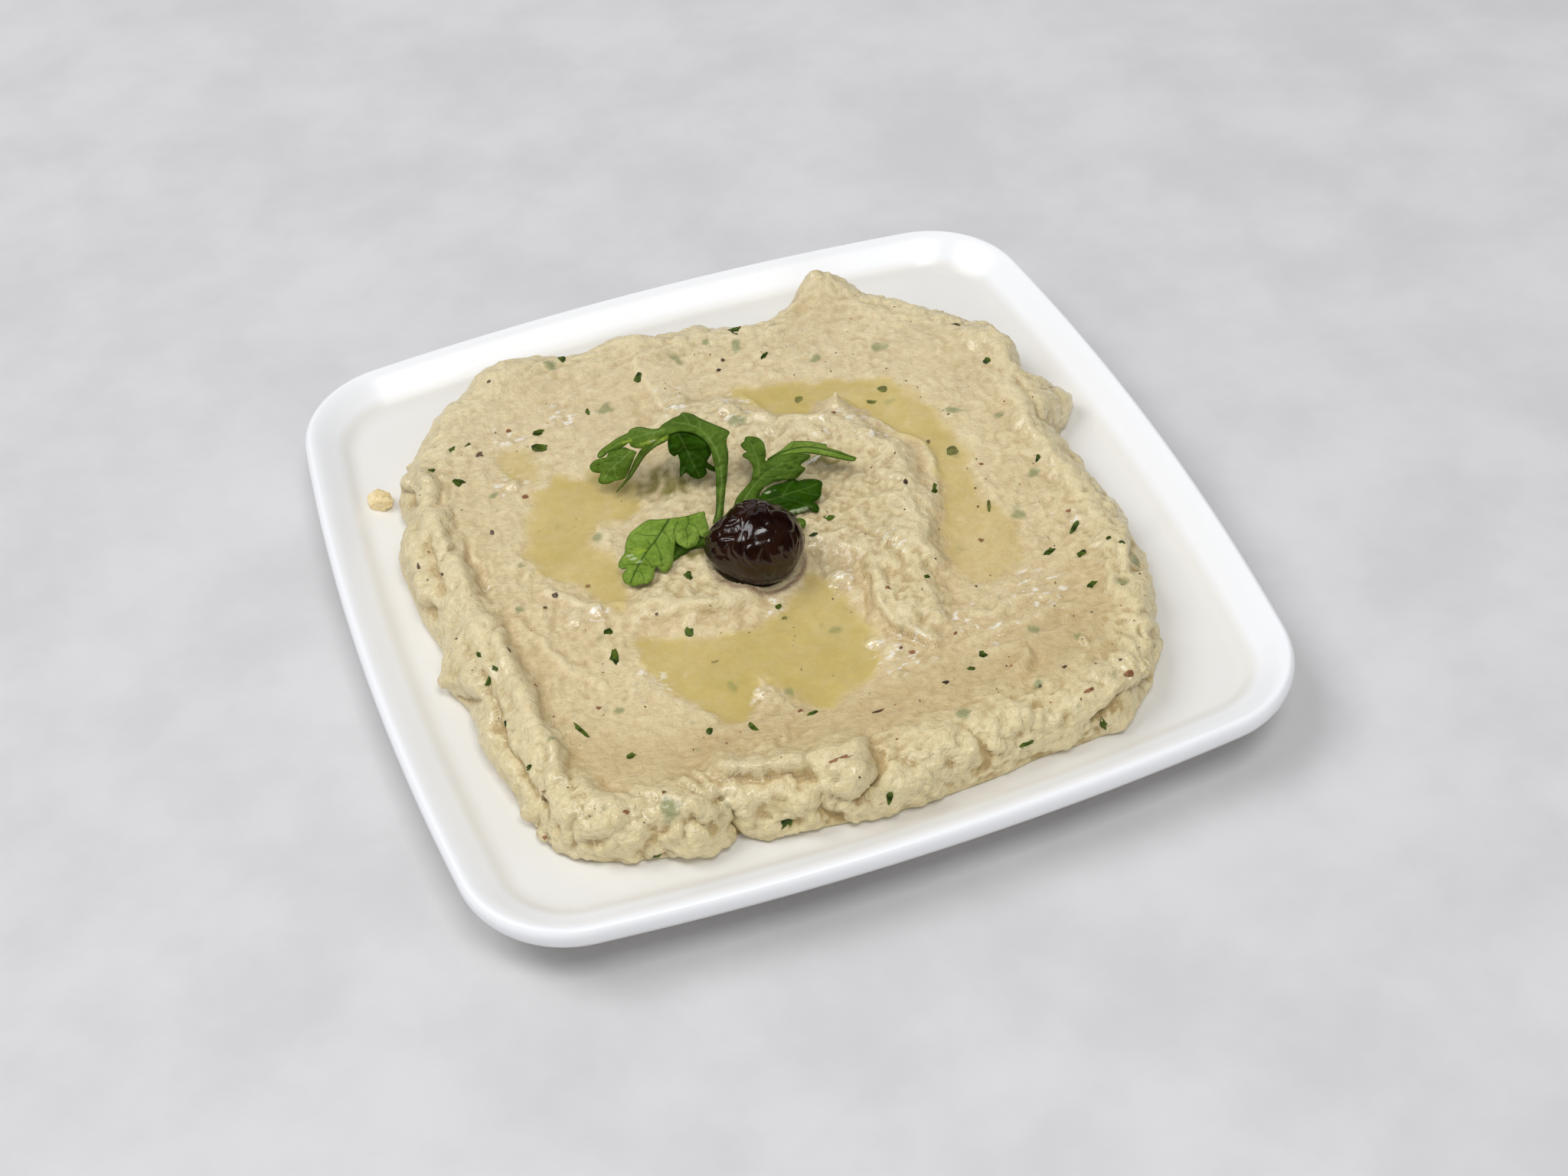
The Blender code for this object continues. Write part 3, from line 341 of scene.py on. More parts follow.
     ((-13.4, -1, 24.2), (-16.4, -4, 23.2), (-23.4, -5.6, 22.4), (-18, 1.2, 24)),
     (((-13.6, -1.2), (-17, -2), (-20.4, -3), (-23, -5)),)),
    ("front leaf", 0.9, (
        (-12.9, 5.9), (-13, 4.4), (-13.2, 2.8), (-13.6, 0.4), (-14.2, -0.8), (-15.1, -1.6), (-15.8, -1),
        (-16, -0.3), (-16.4, -1.6), (-17.4, -2.9), (-18.4, -3.3), (-19.6, -3.3), (-20.6, -2.1),
        (-21.1, -0.8), (-21, 0.3), (-21.7, -1.4), (-22.6, -3.4), (-23.6, -5.8), (-24.6, -7.2),
        (-26, -8.3), (-26.9, -7.4), (-27, -6.1), (-27.7, -6.4), (-28.4, -7.8), (-29.2, -9.2),
        (-30.5, -10), (-31.6, -9.6), (-33, -9.7), (-34.3, -8.8), (-34.8, -7.3), (-34.4, -5.6),
        (-33.1, -4), (-34, -3.9), (-34.5, -3), (-33.8, -1.5), (-32.7, -0.3), (-32, 0.4), (-31.4, 2),
        (-30.4, 4), (-29, 5.8), (-26.6, 7.1), (-24.4, 7.9), (-22.4, 7.2), (-19.6, 6.5), (-16.4, 5.9)),
     ((-13, 5.6, 26), (-13.8, -0.4, 24.8), (-19, 6.2, 26.8), (-19.4, -3, 24), (-24.4, 7.4, 26.6),
      (-25, 0.5, 25.6), (-26, -8, 23.2), (-31, 3, 25), (-30.4, -3, 24.6), (-34.4, -3.4, 22.6),
      (-33.6, -8.8, 21.9), (-30, -9.6, 22.4)),
     (((-20.4, 6.4), (-21.7, 5), (-23.4, 3.1), (-25.2, 1.2), (-27.2, -0.5), (-28.8, -2.2), (-30.4, -4),
       (-31.8, -5.8), (-33.6, -8.4)),
      ((-16.4, 5.8), (-16.8, 4), (-18, 2.2), (-18.3, 0.4), (-19.3, -2.4)),
      ((-16.7, 3.4), (-15.8, 1.9), (-15.9, 0.4)), ((-19, 5), (-20.6, 2.4), (-21, 0.4)),
      ((-22.8, 3.6), (-22.2, 1.8), (-22.4, -0.6)), ((-25.2, 1.2), (-25.2, -0.8), (-25.4, -3), (-26, -6)),
      ((-24, 2.6), (-26.6, 3.8), (-28.4, 5.2)), ((-26.4, 0.2), (-26.5, 2.2)),
      ((-27.2, -0.5), (-29.4, 0), (-31.2, 1.4)), ((-28.8, -2.2), (-28.2, -4.2), (-28.2, -6)),
      ((-30.4, -4), (-32, -3.4), (-33.6, -3)), ((-31.6, -5.6), (-30.7, -6.4), (-30.7, -8.6)))),
)
BLADE_THICKNESS = 0.3
# Painted light shining through the leaves, then painted glints on them: x, y, width, height
BACKLIT_SPOTS = ((-15.2, 31.4, 2.8, 0.7), (-29.2, -0.4, 1.2, 0.8), (-21, 33.6, 1.2, 0.5))
LEAF_PAINTED_GLINTS = ((-31.2, -0.8, 0.7, 0.35), (-30.7, -2.0, 0.7, 0.3), (-30.1, -3.2, 0.6, 0.3), (-15.8, 31.6, 0.5, 0.3),
               (2.0, 6.2, 0.9, 0.3), (6.0, -1.4, 1.8, 0.5))

# Crumb
CRUMB_PLACE = (-74.5, 46.1)
CRUMB_SIZE = (2.5, 3.0, 2.7)

# Camera
EYE = Vector((-0.11291, -0.34699, 0.36379))
EYE_RIGHT = Vector((0.93591, -0.35035, -0.03642))
EYE_UP = Vector((0.27228, 0.65397, 0.70582))
LENS = 54.595
PLAN_LEVEL = 21.0

RNG = np.random.default_rng(20)
SHUFFLE = RNG.permutation(256)
SLOPES = RNG.normal(size=(256, 3))
SLOPES /= np.linalg.norm(SLOPES, axis=1)[:, None]


def noise(points, size, seed=0):
    """Smooth noise with a spread of 1 at millimetre points, with features of the given size."""
    place = np.asarray(points, float) / size + 37.7 * seed
    cell = np.floor(place).astype(int)
    part = place - cell
    ease = part ** 3 * (part * (part * 6 - 15) + 10)
    total = np.zeros(len(place))
    for corner in itertools.product((0, 1), repeat=3):
        index = (cell + corner) & 255
        key = SHUFFLE[index[:, 0]]
        key = SHUFFLE[(key + index[:, 1]) & 255]
        key = SHUFFLE[(key + index[:, 2]) & 255]
        weight = np.prod(np.where(corner, ease, 1 - ease), axis=1)
        total += weight * np.einsum("ij,ij->i", SLOPES[key], part - corner)
    return 5.1 * total


def billow(points, size, seed):
    """Rounded lumps with creases between them, with a mean of 0."""
    return np.abs(noise(points, size, seed)) - 0.8


def smoothstep(value):
    """Ease from 0 to 1 as the value goes from 0 to 1."""
    value = np.clip(value, 0.0, 1.0)
    return value * value * (3.0 - 2.0 * value)


def smooth_path(points, steps, closed=False):
    """Catmull-Rom curve through the points, with the given steps per span."""
    knots = np.asarray(points, float)
    if closed:
        knots = np.vstack([knots[-1:], knots, knots[:2]])
    else:
        knots = np.vstack([2 * knots[0] - knots[1], knots, 2 * knots[-1] - knots[-2]])
    curve = []
    for start in range(1, len(knots) - 2):
        before, here, there, after = knots[start - 1:start + 3]
        for step in range(steps):
            t = step / steps
            curve.append(0.5 * (2 * here + (there - before) * t
                                + (2 * before - 5 * here + 4 * there - after) * t ** 2
                                + (3 * here - before - 3 * there + after) * t ** 3))
    if not closed:
        curve.append(knots[-2])
    return np.array(curve)


def nearest_on_path(x, y, path):
    """Distance to a path, its sign (left is positive) and how far along the nearest point is."""
    spans = np.hypot(*np.diff(path, axis=0).T)
    lengths = np.concatenate([[0.0], np.cumsum(spans)])
    best = np.full(np.shape(x), np.inf)
    side = np.ones(np.shape(x))
    along = np.zeros(np.shape(x))
    for index, (here, there) in enumerate(zip(path[:-1], path[1:])):
        run = there - here
        share = ((x - here[0]) * run[0] + (y - here[1]) * run[1]) / (run @ run)
        share = np.clip(share, 0.0, 1.0)
        away_x = x - here[0] - share * run[0]
        away_y = y - here[1] - share * run[1]
        distance = np.hypot(away_x, away_y)
        closer = distance < best
        best = np.where(closer, distance, best)
        side = np.where(closer, np.sign(run[0] * away_y - run[1] * away_x), side)
        along = np.where(closer, (lengths[index] + share * spans[index]) / lengths[-1], along)
    return best, side, along


def distance_inside(x, y, outline):
    """Distance in from a closed outline; negative outside it."""
    ring = np.vstack([outline, outline[:1]])
    distance, _, _ = nearest_on_path(x, y, ring)
    inside = np.zeros(np.shape(x), bool)
    for (ax, ay), (bx, by) in zip(ring[:-1], ring[1:]):
        if ay != by:
            crosses = ((ay > y) != (by > y)) & (x < (bx - ax) * (y - ay) / (by - ay) + ax)
            inside ^= crosses
    return np.where(inside, distance, -distance)


def outline_radius(angle):
    """Distance from the dip's centre to its edge on the dish, in a direction."""
    edge = np.asarray(DIP_OUTLINE, float) - DIP_CENTRE
    known = np.unwrap(np.arctan2(edge[:, 1], edge[:, 0]))
    radii = np.hypot(edge[:, 0], edge[:, 1])
    total = np.zeros(np.shape(angle))
    offsets = np.linspace(-2.0, 2.0, 9)
    weights = np.exp(-0.5 * offsets ** 2)
    for offset, weight in zip(offsets, weights):
        total += weight * np.interp(angle + offset * OUTLINE_SMOOTHING, known, radii, period=2 * math.pi)
    return total / weights.sum()


def stroke_height(x, y, path, height, left_width, right_width):
    """Height along a path, fading at its ends: a rounded fold, or a sharp crease if negative."""
    total = np.zeros(len(x))
    curve = smooth_path(path, 5)
    margin = 4.0 * max(left_width, right_width)
    low, high = curve.min(axis=0) - margin, curve.max(axis=0) + margin
    near = (x > low[0]) & (x < high[0]) & (y > low[1]) & (y < high[1])
    distance, side, along = nearest_on_path(x[near], y[near], curve)
    share = distance / np.where(side > 0, left_width, right_width)
    form = np.exp(-share ** 2) if height > 0 else np.exp(-1.2 * share ** 1.3)
    total[near] = height * form * smoothstep(np.minimum(along, 1.0 - along) * 6.0)
    return total


def on_plan(points):
    """Where the lines from the eye through millimetre points meet the plan level."""
    eye = np.array(EYE) / MM
    share = (eye[2] - PLAN_LEVEL) / (eye[2] - points[:, 2])
    return eye[:2] + (points[:, :2] - eye[:2]) * share[:, None]


def fine_folds(points, normals):
    """Height of the finer folds, creases and lumps at points of the dip, out along its surface."""
    eye = np.array(EYE) / MM
    towards = eye - points
    facing = np.einsum("ij,ij->i", normals, towards) / np.linalg.norm(towards, axis=1)
    plan = on_plan(points)
    flat = np.column_stack([plan, np.zeros(len(plan))])
    x = plan[:, 0] + 0.3 * noise(flat, 4.0, 51)
    y = plan[:, 1] + 0.3 * noise(flat, 4.0, 52)
    folds = np.zeros(len(x))
    for path, height, left_width, right_width in RIDGES:
        folds += stroke_height(x, y, path, height, left_width, right_width)
    lumps = np.zeros(len(x))
    for lump_x, lump_y, rise, radius in BUMPS:
        share = ((x - lump_x) ** 2 + (y - lump_y) ** 2) / (1.25 * radius) ** 2
        lumps = np.maximum(lumps, rise * np.clip(1.0 - share, 0.0, 1.0))
    return (folds + lumps) * smoothstep(facing * 4.0)


def from_edge(x, y):
    """Distance in from the dip's edge, along the line to its centre."""
    angle = np.arctan2(y - DIP_CENTRE[1], x - DIP_CENTRE[0])
    return outline_radius(angle) - np.hypot(x - DIP_CENTRE[0], y - DIP_CENTRE[1])


def oil_cover(x, y):
    """Distance into the nearest pool, that pool's level and how rich its oil looks."""
    cover = np.full(np.shape(x), -9.0)
    level = np.full(np.shape(x), DIP_LEVEL)
    richness = np.zeros(np.shape(x))
    for (_, pool_level, points), (near, far) in zip(POOLS, POOL_RICHNESS):
        inside = distance_inside(x, y, smooth_path(points, 4, closed=True))
        nearer = inside > cover
        low, high = min(point[1] for point in points), max(point[1] for point in points)
        share = smoothstep((y - low) / (high - low))
        cover = np.where(nearer, inside, cover)
        level = np.where(nearer, pool_level, level)
        richness = np.where(nearer, near + (far - near) * share, richness)
    return cover, level, richness


def olive_place():
    """Centre of the olive in millimetres."""
    low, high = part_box("olive")
    return np.array((low + high) / 2) / MM + np.array(OLIVE_LEAN)


def paste_height(x, y):
    """Height of the dip's surface, and attributes of it: oil cover and relief."""
    edge = from_edge(x, y)
    height = DIP_LEVEL + BANK_HEIGHT * np.exp(-(edge / BANK_WIDTH) ** 2)
    flat = np.column_stack([x, y, np.zeros(len(x))])
    warp_x = x + 0.45 * noise(flat, 6.0, 1) + 0.2 * noise(flat, 2.5, 14)
    warp_y = y + 0.45 * noise(flat, 6.0, 2) + 0.2 * noise(flat, 2.5, 15)
    on_mound = mound_share(warp_x, warp_y)
    height = height + MOUND_HEIGHT * on_mound
    for path, rise, left_width, right_width in FOLDS:
        height = height + 1.1 * stroke_height(warp_x, warp_y, path, rise, left_width, right_width)
    for lump_x, lump_y, rise, radius in LUMPS:
        height = height + rise * np.exp(-((x - lump_x) ** 2 + (y - lump_y) ** 2) / radius ** 2)

    # spoon streaks follow the spread round the dish
    around = np.arctan2(warp_y, warp_x) * 60.0
    across = (np.abs(warp_x) ** 4 + np.abs(warp_y) ** 4) ** 0.25
    streaks = np.column_stack([across / 1.9, around / 11.0, np.zeros(len(x))])
    fine_streaks = np.column_stack([across / 1.1, around / 4.0, np.zeros(len(x))])
    patches = smoothstep(0.5 + 0.6 * noise(flat, 16.0, 8))
    relief = 0.17 * billow(flat, 5.0, 3) + 0.12 * billow(flat, 2.6, 4) + 0.06 * noise(flat, 1.4, 5)
    relief += (0.11 * noise(streaks, 1.0, 6) + 0.08 * noise(fine_streaks, 1.0, 7)) * (1.2 - 0.5 * patches)
    relief = relief * (0.40 + 0.50 * patches + 0.6 * on_mound + 0.5 * np.exp(-(edge / 14.0) ** 2))

    cover, level, richness = oil_cover(warp_x, warp_y)
    sunk = smoothstep((cover + 2.4) / SHORE)
    bed = level - BED_DEPTH + 0.10 * noise(flat, 12.0, 9)
    height = height + relief
    height = height * (1 - sunk) + (bed + 0.3 * relief) * sunk
    spike_x, spike_y, rise, radius = SPIKE
    height = height + rise * np.exp(-np.hypot(x - spike_x, (y - spike_y) * 0.8) / radius)
    tint = smoothstep((cover + 1.2 + 0.6 * noise(flat, 5.0, 10)) / 2.6) * richness
    return height, tint, relief


def mound_share(x, y):
    """1 on the mound, 0 off it."""
    mound = smooth_path(MOUND_OUTLINE, 4, closed=True)
    return smoothstep(distance_inside(x, y, mound) / MOUND_SLOPE)


def seat(x, y, height):
    """The hollow that the olive is pressed into, with the paste raised a little round it."""
    middle = olive_place()
    cosine, sine = math.cos(OLIVE_TURN), math.sin(OLIVE_TURN)
    across = ((x - middle[0]) * cosine + (y - middle[1]) * sine) / OLIVE_HALF[0]
    along = (-(x - middle[0]) * sine + (y - middle[1]) * cosine) / OLIVE_HALF[1]
    ring = np.hypot(across, along)
    under = middle[2] - OLIVE_HALF[2] * np.sqrt(np.clip(1 - ring ** 2, 0, 1)) - 0.25
    height = height + 0.5 * np.exp(-((ring - 1.0) / 0.10) ** 2)
    return np.where(ring < 1.0, np.minimum(height, under), height)


def deselect_all():
    """Leave nothing selected."""
    for thing in bpy.context.selected_objects:
        thing.select_set(False)


def name_piece(name):
    """Name the object just added, and its mesh."""
    piece = bpy.context.object
    piece.name = name
    piece.data.name = name
    return piece


def finish_piece(piece, material, angle=60.0):
    """Smooth shading, material, slot and body of a finished piece."""
    deselect_all()
    piece.select_set(True)
    bpy.context.view_layer.objects.active = piece
    bpy.ops.object.shade_smooth_by_angle(angle=math.radians(angle))
    piece.data.materials.clear()
    piece.data.materials.append(material)
    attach(piece, "root")
    return piece


def set_points(piece, points):
    """Move a piece's vertices to millimetre points."""
    piece.data.vertices.foreach_set("co", (np.asarray(points, float) * MM).ravel())
    piece.data.update()


def get_points(piece):
    """A piece's vertices in millimetres."""
    points = np.zeros(len(piece.data.vertices) * 3)
    piece.data.vertices.foreach_get("co", points)
    return points.reshape(-1, 3) / MM


def get_normals(piece):
    """A piece's vertex normals."""
    normals = np.zeros(len(piece.data.vertices) * 3)
    piece.data.vertices.foreach_get("normal", normals)
    return normals.reshape(-1, 3)


def add_attribute(piece, name, values):
    """Store a number for each vertex."""
    layer = piece.data.attributes.new(name, "FLOAT", "POINT")
    layer.data.foreach_set("value", np.asarray(values, np.float32))


def edit(piece):
    """Enter edit mode on a piece with nothing selected."""
    deselect_all()
    piece.select_set(True)
    bpy.context.view_layer.objects.active = piece
    bpy.ops.object.mode_set(mode="EDIT")
    bpy.ops.mesh.select_mode(type="EDGE")
    bpy.ops.mesh.select_all(action="DESELECT")


def leave_edit():
    """Back to object mode."""
    bpy.ops.object.mode_set(mode="OBJECT")


def close_and_face_outwards(piece):
    """Fill a piece's open edges and turn its faces outwards."""
    edit(piece)
    work = bmesh.from_edit_mesh(piece.data)
    for edge in work.edges:
        if edge.is_boundary:
            edge.select_set(True)
    bmesh.update_edit_mesh(piece.data)
    bpy.ops.mesh.edge_face_add()
    bpy.ops.mesh.select_all(action="SELECT")
    bpy.ops.mesh.normals_make_consistent(inside=False)
    leave_edit()


class Field:
    """A socket of a finish; arithmetic on number sockets adds Math nodes."""

    def __init__(self, finish, socket):
        self.finish = finish
        self.socket = socket

    def math(self, operation, *values):
        return self.finish.node("ShaderNodeMath", {"operation": operation}, dict(enumerate(values)))

    def __add__(self, other):
        return self.math("ADD", self, other)

    __radd__ = __add__

    def __sub__(self, other):
        return self.math("SUBTRACT", self, other)

    def __rsub__(self, other):
        return self.math("SUBTRACT", other, self)

    def __mul__(self, other):
        return self.math("MULTIPLY", self, other)

    __rmul__ = __mul__

    def __pow__(self, other):
        return self.math("POWER", self, other)

    def eased(self, low, high):
        """0 below low, 1 above high, smooth between."""
        return self.finish.node("ShaderNodeMapRange", {"interpolation_type": "SMOOTHSTEP"},
                                {"Value": self, "From Min": low, "From Max": high})


class Finish:
    """A Principled material and the nodes that feed it."""

    def __init__(self, name, **fixed):
        self.material = bpy.data.materials.new(name)
        self.material.use_nodes = True
        self.tree = self.material.node_tree
        self.shader = self.tree.nodes["Principled BSDF"]
        for socket, value in fixed.items():
            self.shader.inputs[socket.replace("_", " ").title().replace("Ior", "IOR")].default_value = value
        self.place = self.node("ShaderNodeTexCoord", out="Object")

    def node(self, kind, settings=None, values=None, out=0):
        """Add a node: its settings first, then its sockets' values and links."""
        made = self.tree.nodes.new(kind)
        for key, value in (settings or {}).items():
            if key == "stops":
                for index, (position, colour) in enumerate(value):
                    stop = made.color_ramp.elements[index] if index < 2 else made.color_ramp.elements.new(position)
                    stop.position = position
                    stop.color = colour
            else:
                setattr(made, key, value)
        for key, value in (values or {}).items():
            if isinstance(value, Field):
                self.tree.links.new(value.socket, made.inputs[key])
            else:
                made.inputs[key].default_value = value
        return Field(self, made.outputs[out])

    def noise(self, size, detail=3.0, roughness=0.5, distortion=0.0, place=None):
        """Noise with features of a size in millimetres."""
        return self.node("ShaderNodeTexNoise", {}, {
            "Vector": self.place if place is None else place, "Scale": 1.0 / (size * MM), "Detail": detail,
            "Roughness": roughness, "Distortion": distortion})

    def cells(self, size, feature="F1", out="Distance"):
        """Distance in a cell pattern with cells of a size in millimetres."""
        return self.node("ShaderNodeTexVoronoi", {"feature": feature},
                         {"Vector": self.place, "Scale": 1.0 / (size * MM)}, out=out)

    def attribute(self, name):
        """A number stored on the piece."""
        return self.node("ShaderNodeAttribute", {"attribute_name": name}, out="Fac")

    def blend(self, share, first, second):
        """Mix two colours."""
        return self.node("ShaderNodeMix", {"data_type": "RGBA"}, {0: share, 6: first, 7: second}, out=2)

    def bump(self, height, depth, strength=1.0, below=None):
        """A normal from a height, in millimetres of depth."""
        values = {"Height": height, "Distance": depth * MM, "Strength": strength}
        if below:
            values["Normal"] = below
        return self.node("ShaderNodeBump", {}, values)

    def feed(self, **fields):
        """Link fields to the shader."""
        for socket, field in fields.items():
            self.tree.links.new(field.socket, self.shader.inputs[socket.replace("_", " ").title()])
        return self.material


def paint(red, green, blue):
    """A colour from display values of 0 to 255."""
    linear = [(value / 255) / 12.92 if value <= 10 else ((value / 255 + 0.055) / 1.055) ** 2.4
              for value in (red, green, blue)]
    return (*linear, 1.0)


def glaze_finish():
    """White glossy porcelain glaze, painted a little darker and warmer in the well as shade and light reflected from
    the paste.
    """
    glaze = Finish("white glaze", specular_ior_level=0.5)
    height = glaze.node("ShaderNodeSeparateXYZ", {}, {"Vector": glaze.place}, out=2)
    rim = height.eased((DIP_BASE + 0.6) * MM, (DIP_BASE + 2.6) * MM)
    cloud = glaze.noise(26.0, 2.0).eased(0.3, 0.7)
    # Painted shade and painted reflected light: the well is darker and warmer than the rim
    well = glaze.blend(cloud, paint(232, 230, 225), paint(236, 234, 229))
    colour = glaze.blend(rim, well, paint(248, 249, 251))
    speckle = glaze.noise(0.7, 1.0).eased(0.76, 0.8)
    colour = glaze.blend(speckle * 0.2, colour, paint(228, 225, 218))
    ripple = glaze.bump(glaze.noise(16.0, 1.0), 0.02, 0.2)
    return glaze.feed(base_color=colour, normal=ripple, roughness=0.22 + 0.06 * glaze.noise(14.0, 2.0))


def paste_finish():
    """Moist aubergine paste, tan where it is smooth and yellow under oil, with painted shade in hollows and under
    the leaves, painted highlights on crests and painted glints.
    """
    paste = Finish("aubergine paste", subsurface_weight=0.4, subsurface_scale=0.0014, specular_ior_level=0.5,
                   coat_roughness=0.12, coat_ior=1.7)
    paste.shader.inputs["Subsurface Radius"].default_value = (1.0, 0.75, 0.45)
    oil = paste.attribute("oil")
    proud = paste.attribute("proud")
    lumpy = paste.attribute("lumpy")
    wet = paste.attribute("wet")
    painted_glint = paste.attribute("painted_glint")
    sunken = paste.attribute("sunken")
    juice = paste.attribute("juice")
    depth = paste.node("ShaderNodeSeparateXYZ", {}, {"Vector": paste.place}, out=1)
    far = depth.eased(-70 * MM, 60 * MM)
    cloud = paste.noise(14.0, 4.0, 0.6).eased(0.35, 0.65)
    grain = paste.noise(2.2, 5.0, 0.65).eased(0.36, 0.64)
    fibre = paste.noise(0.8, 3.0, 0.6).eased(0.42, 0.7)
    smooth = paste.blend(cloud, paint(213, 189, 145), paint(220, 199, 156))
    curds = paste.blend(cloud, paint(206, 188, 141), paint(218, 201, 155))
    colour = paste.blend(lumpy, smooth, curds)
    colour = paste.blend(grain * 0.48, colour, paint(237, 222, 178))
    colour = paste.blend(fibre * 0.2, colour, paint(186, 160, 110))
    # Painted shade in the hollows and painted highlight on the crests, by how proud the surface stands
    colour = paste.blend((1 - proud.eased(0.0, 0.5)) * (0.2 + 0.35 * lumpy), colour, paint(174, 140, 78))
    colour = paste.blend(proud.eased(0.55, 0.95) * 0.32, colour, paint(241, 230, 188))
    # Painted shade: a darker tan band in the trough behind the front bank
    painted_trough_shade = paste.attribute("painted_trough_shade")
    colour = paste.blend(painted_trough_shade * 0.5, colour, paint(192, 167, 116))
    # Painted light: paler towards the back of the dish
    colour = paste.blend(far * 0.22, colour, paint(232, 218, 184))
    stained = oil * (0.52 + 0.38 * paste.noise(5.0, 4.0, 0.65).eased(0.34, 0.6))
    colour = paste.blend(stained, colour, paint(212, 192, 114))
    colour = paste.blend(sunken, colour, paint(128, 140, 90))
    # Painted shade under the leaves, dark olive-green for the light reflected off them; duller and without coat
    # there
    shade = paste.attribute("painted_leaf_shade")
    colour = paste.blend(shade * 0.85, colour, paint(112, 105, 10))
    colour = paste.blend(juice * 0.8, colour, paint(110, 72, 58))
    # Painted glints: near-white streaks at the wet spots
    smear = paste.node("ShaderNodeMapping", {}, {
        "Vector": paste.place, "Rotation": (0, 0, 0.36), "Scale": (0.65, 1.25, 1.25)})
    shine = painted_glint * paste.noise(1.9, 2.0, 0.5, 0.3, smear).eased(0.56, 0.62)
    colour = paste.blend(shine * 0.66, colour, paint(252, 248, 238))
    dry = 1 - oil.eased(0.2, 0.6)
    rugged = dry * (0.45 + 0.55 * lumpy)
    bumps = paste.bump(paste.noise(0.7, 3.0, 0.55), 0.5, 0.08 + 0.24 * dry)
    bumps = paste.bump(paste.noise(1.5, 3.0, 0.6, 0.4, smear), 1.3, 0.1 + 0.42 * rugged, bumps)
    bumps = paste.bump(paste.noise(2.8, 4.0, 0.62, 0.3), 1.5, 0.1 + 0.42 * rugged, bumps)
    rough = 0.42 - 0.22 * wet - 0.16 * oil + 0.08 * grain - 0.3 * juice + 0.3 * shade
    return paste.feed(base_color=colour, normal=bumps, roughness=rough, coat_weight=(0.12 + 0.5 * wet) * (1 - shade))


def oil_finish():
    """Clear yellow-green olive oil in a thin layer."""
    oil = Finish("olive oil", roughness=0.06, ior=1.47)
    depth = oil.attribute("depth")
    tone = oil.noise(14.0, 2.0).eased(0.3, 0.7)
    colour = oil.blend(tone, paint(212, 193, 116), paint(222, 204, 136))
    swell = oil.bump(oil.noise(5.0, 2.0), 0.2, 0.2)
    clear = 0.2 + 0.24 * oil.noise(4.0, 4.0, 0.65).eased(0.34, 0.62)
    return oil.feed(base_color=colour, alpha=clear * depth, normal=swell)


def olive_finish():
    """Wet purple-black olive skin."""
    skin = Finish("olive skin", ior=1.55)
    cloud = skin.noise(6.0, 4.0, 0.6).eased(0.35, 0.7)
    colour = skin.blend(cloud, paint(20, 7, 5), paint(44, 22, 13))
    fold = skin.attribute("crease")
    colour = skin.blend(fold * 0.4, colour, paint(58, 36, 28))
    wrinkle = skin.bump(skin.noise(1.6, 2.0, 0.5, 1.0), 0.3, 0.3)
    return skin.feed(base_color=colour, normal=wrinkle, roughness=0.10 + 0.12 * skin.noise(2.0, 3.0))


def leaf_finish():
    """Parsley leaf: deep green above, pale beneath, with fine veins, painted light shining through it in spots and
    painted glints.
    """
    leaf = Finish("parsley leaf", roughness=0.42, specular_ior_level=0.04, subsurface_weight=0.12,
                  subsurface_scale=0.0006)
    leaf.shader.inputs["Subsurface Radius"].default_value = (0.6, 1.0, 0.1)
    pale = leaf.attribute("pale")
    vein = leaf.attribute("vein")
    rim = leaf.attribute("rim")
    painted_backlight = leaf.attribute("painted_backlight")
    painted_glint = leaf.attribute("painted_glint")
    cloud = leaf.noise(4.0, 3.0).eased(0.3, 0.7)
    deep = leaf.blend(cloud, paint(18, 52, 0), paint(42, 80, 0))
    light = leaf.blend(cloud, paint(120, 150, 54), paint(140, 166, 72))
    colour = leaf.blend(pale, deep, light)
    colour = leaf.blend(leaf.noise(0.7, 3.0, 0.6).eased(0.4, 0.7) * 0.3, colour, paint(34, 62, 6))
    colour = leaf.blend(vein * (1 - pale.eased(0.5, 0.8)) * (0.25 + pale), colour, paint(132, 154, 80))
    colour = leaf.blend(vein * pale.eased(0.5, 0.8), colour, paint(34, 60, 14))
    colour = leaf.blend(rim * 0.5, colour, paint(34, 58, 8))
    # Painted light shining through the leaf in spots
    colour = leaf.blend(painted_backlight * 0.6, colour, paint(158, 178, 60))
    # Painted glints on the leaf
    colour = leaf.blend(painted_glint * 0.6, colour, paint(206, 218, 178))
    crinkle = leaf.bump(leaf.noise(0.9, 3.0, 0.6), 0.25, 0.6)
    return leaf.feed(base_color=colour, normal=crinkle)


def crumb_finish():
    """Paler, drier paste of the loose crumb."""
    crumb = Finish("loose crumb", roughness=0.5)
    tone = crumb.noise(1.4, 3.0).eased(0.35, 0.65)
    colour = crumb.blend(tone, paint(232, 208, 154), paint(244, 226, 178))
    return crumb.feed(base_color=colour, normal=crumb.bump(crumb.noise(0.6, 3.0), 0.25, 0.6))


def herb_finish():
    """Chopped parsley leaf."""
    herb = Finish("chopped herb", roughness=0.4, specular_ior_level=0.2)
    tone = herb.noise(1.6, 3.0).eased(0.35, 0.65)
    colour = herb.blend(tone, paint(34, 52, 6), paint(82, 100, 28))
    return herb.feed(base_color=colour, normal=herb.bump(herb.noise(0.5, 2.0), 0.1, 0.5))


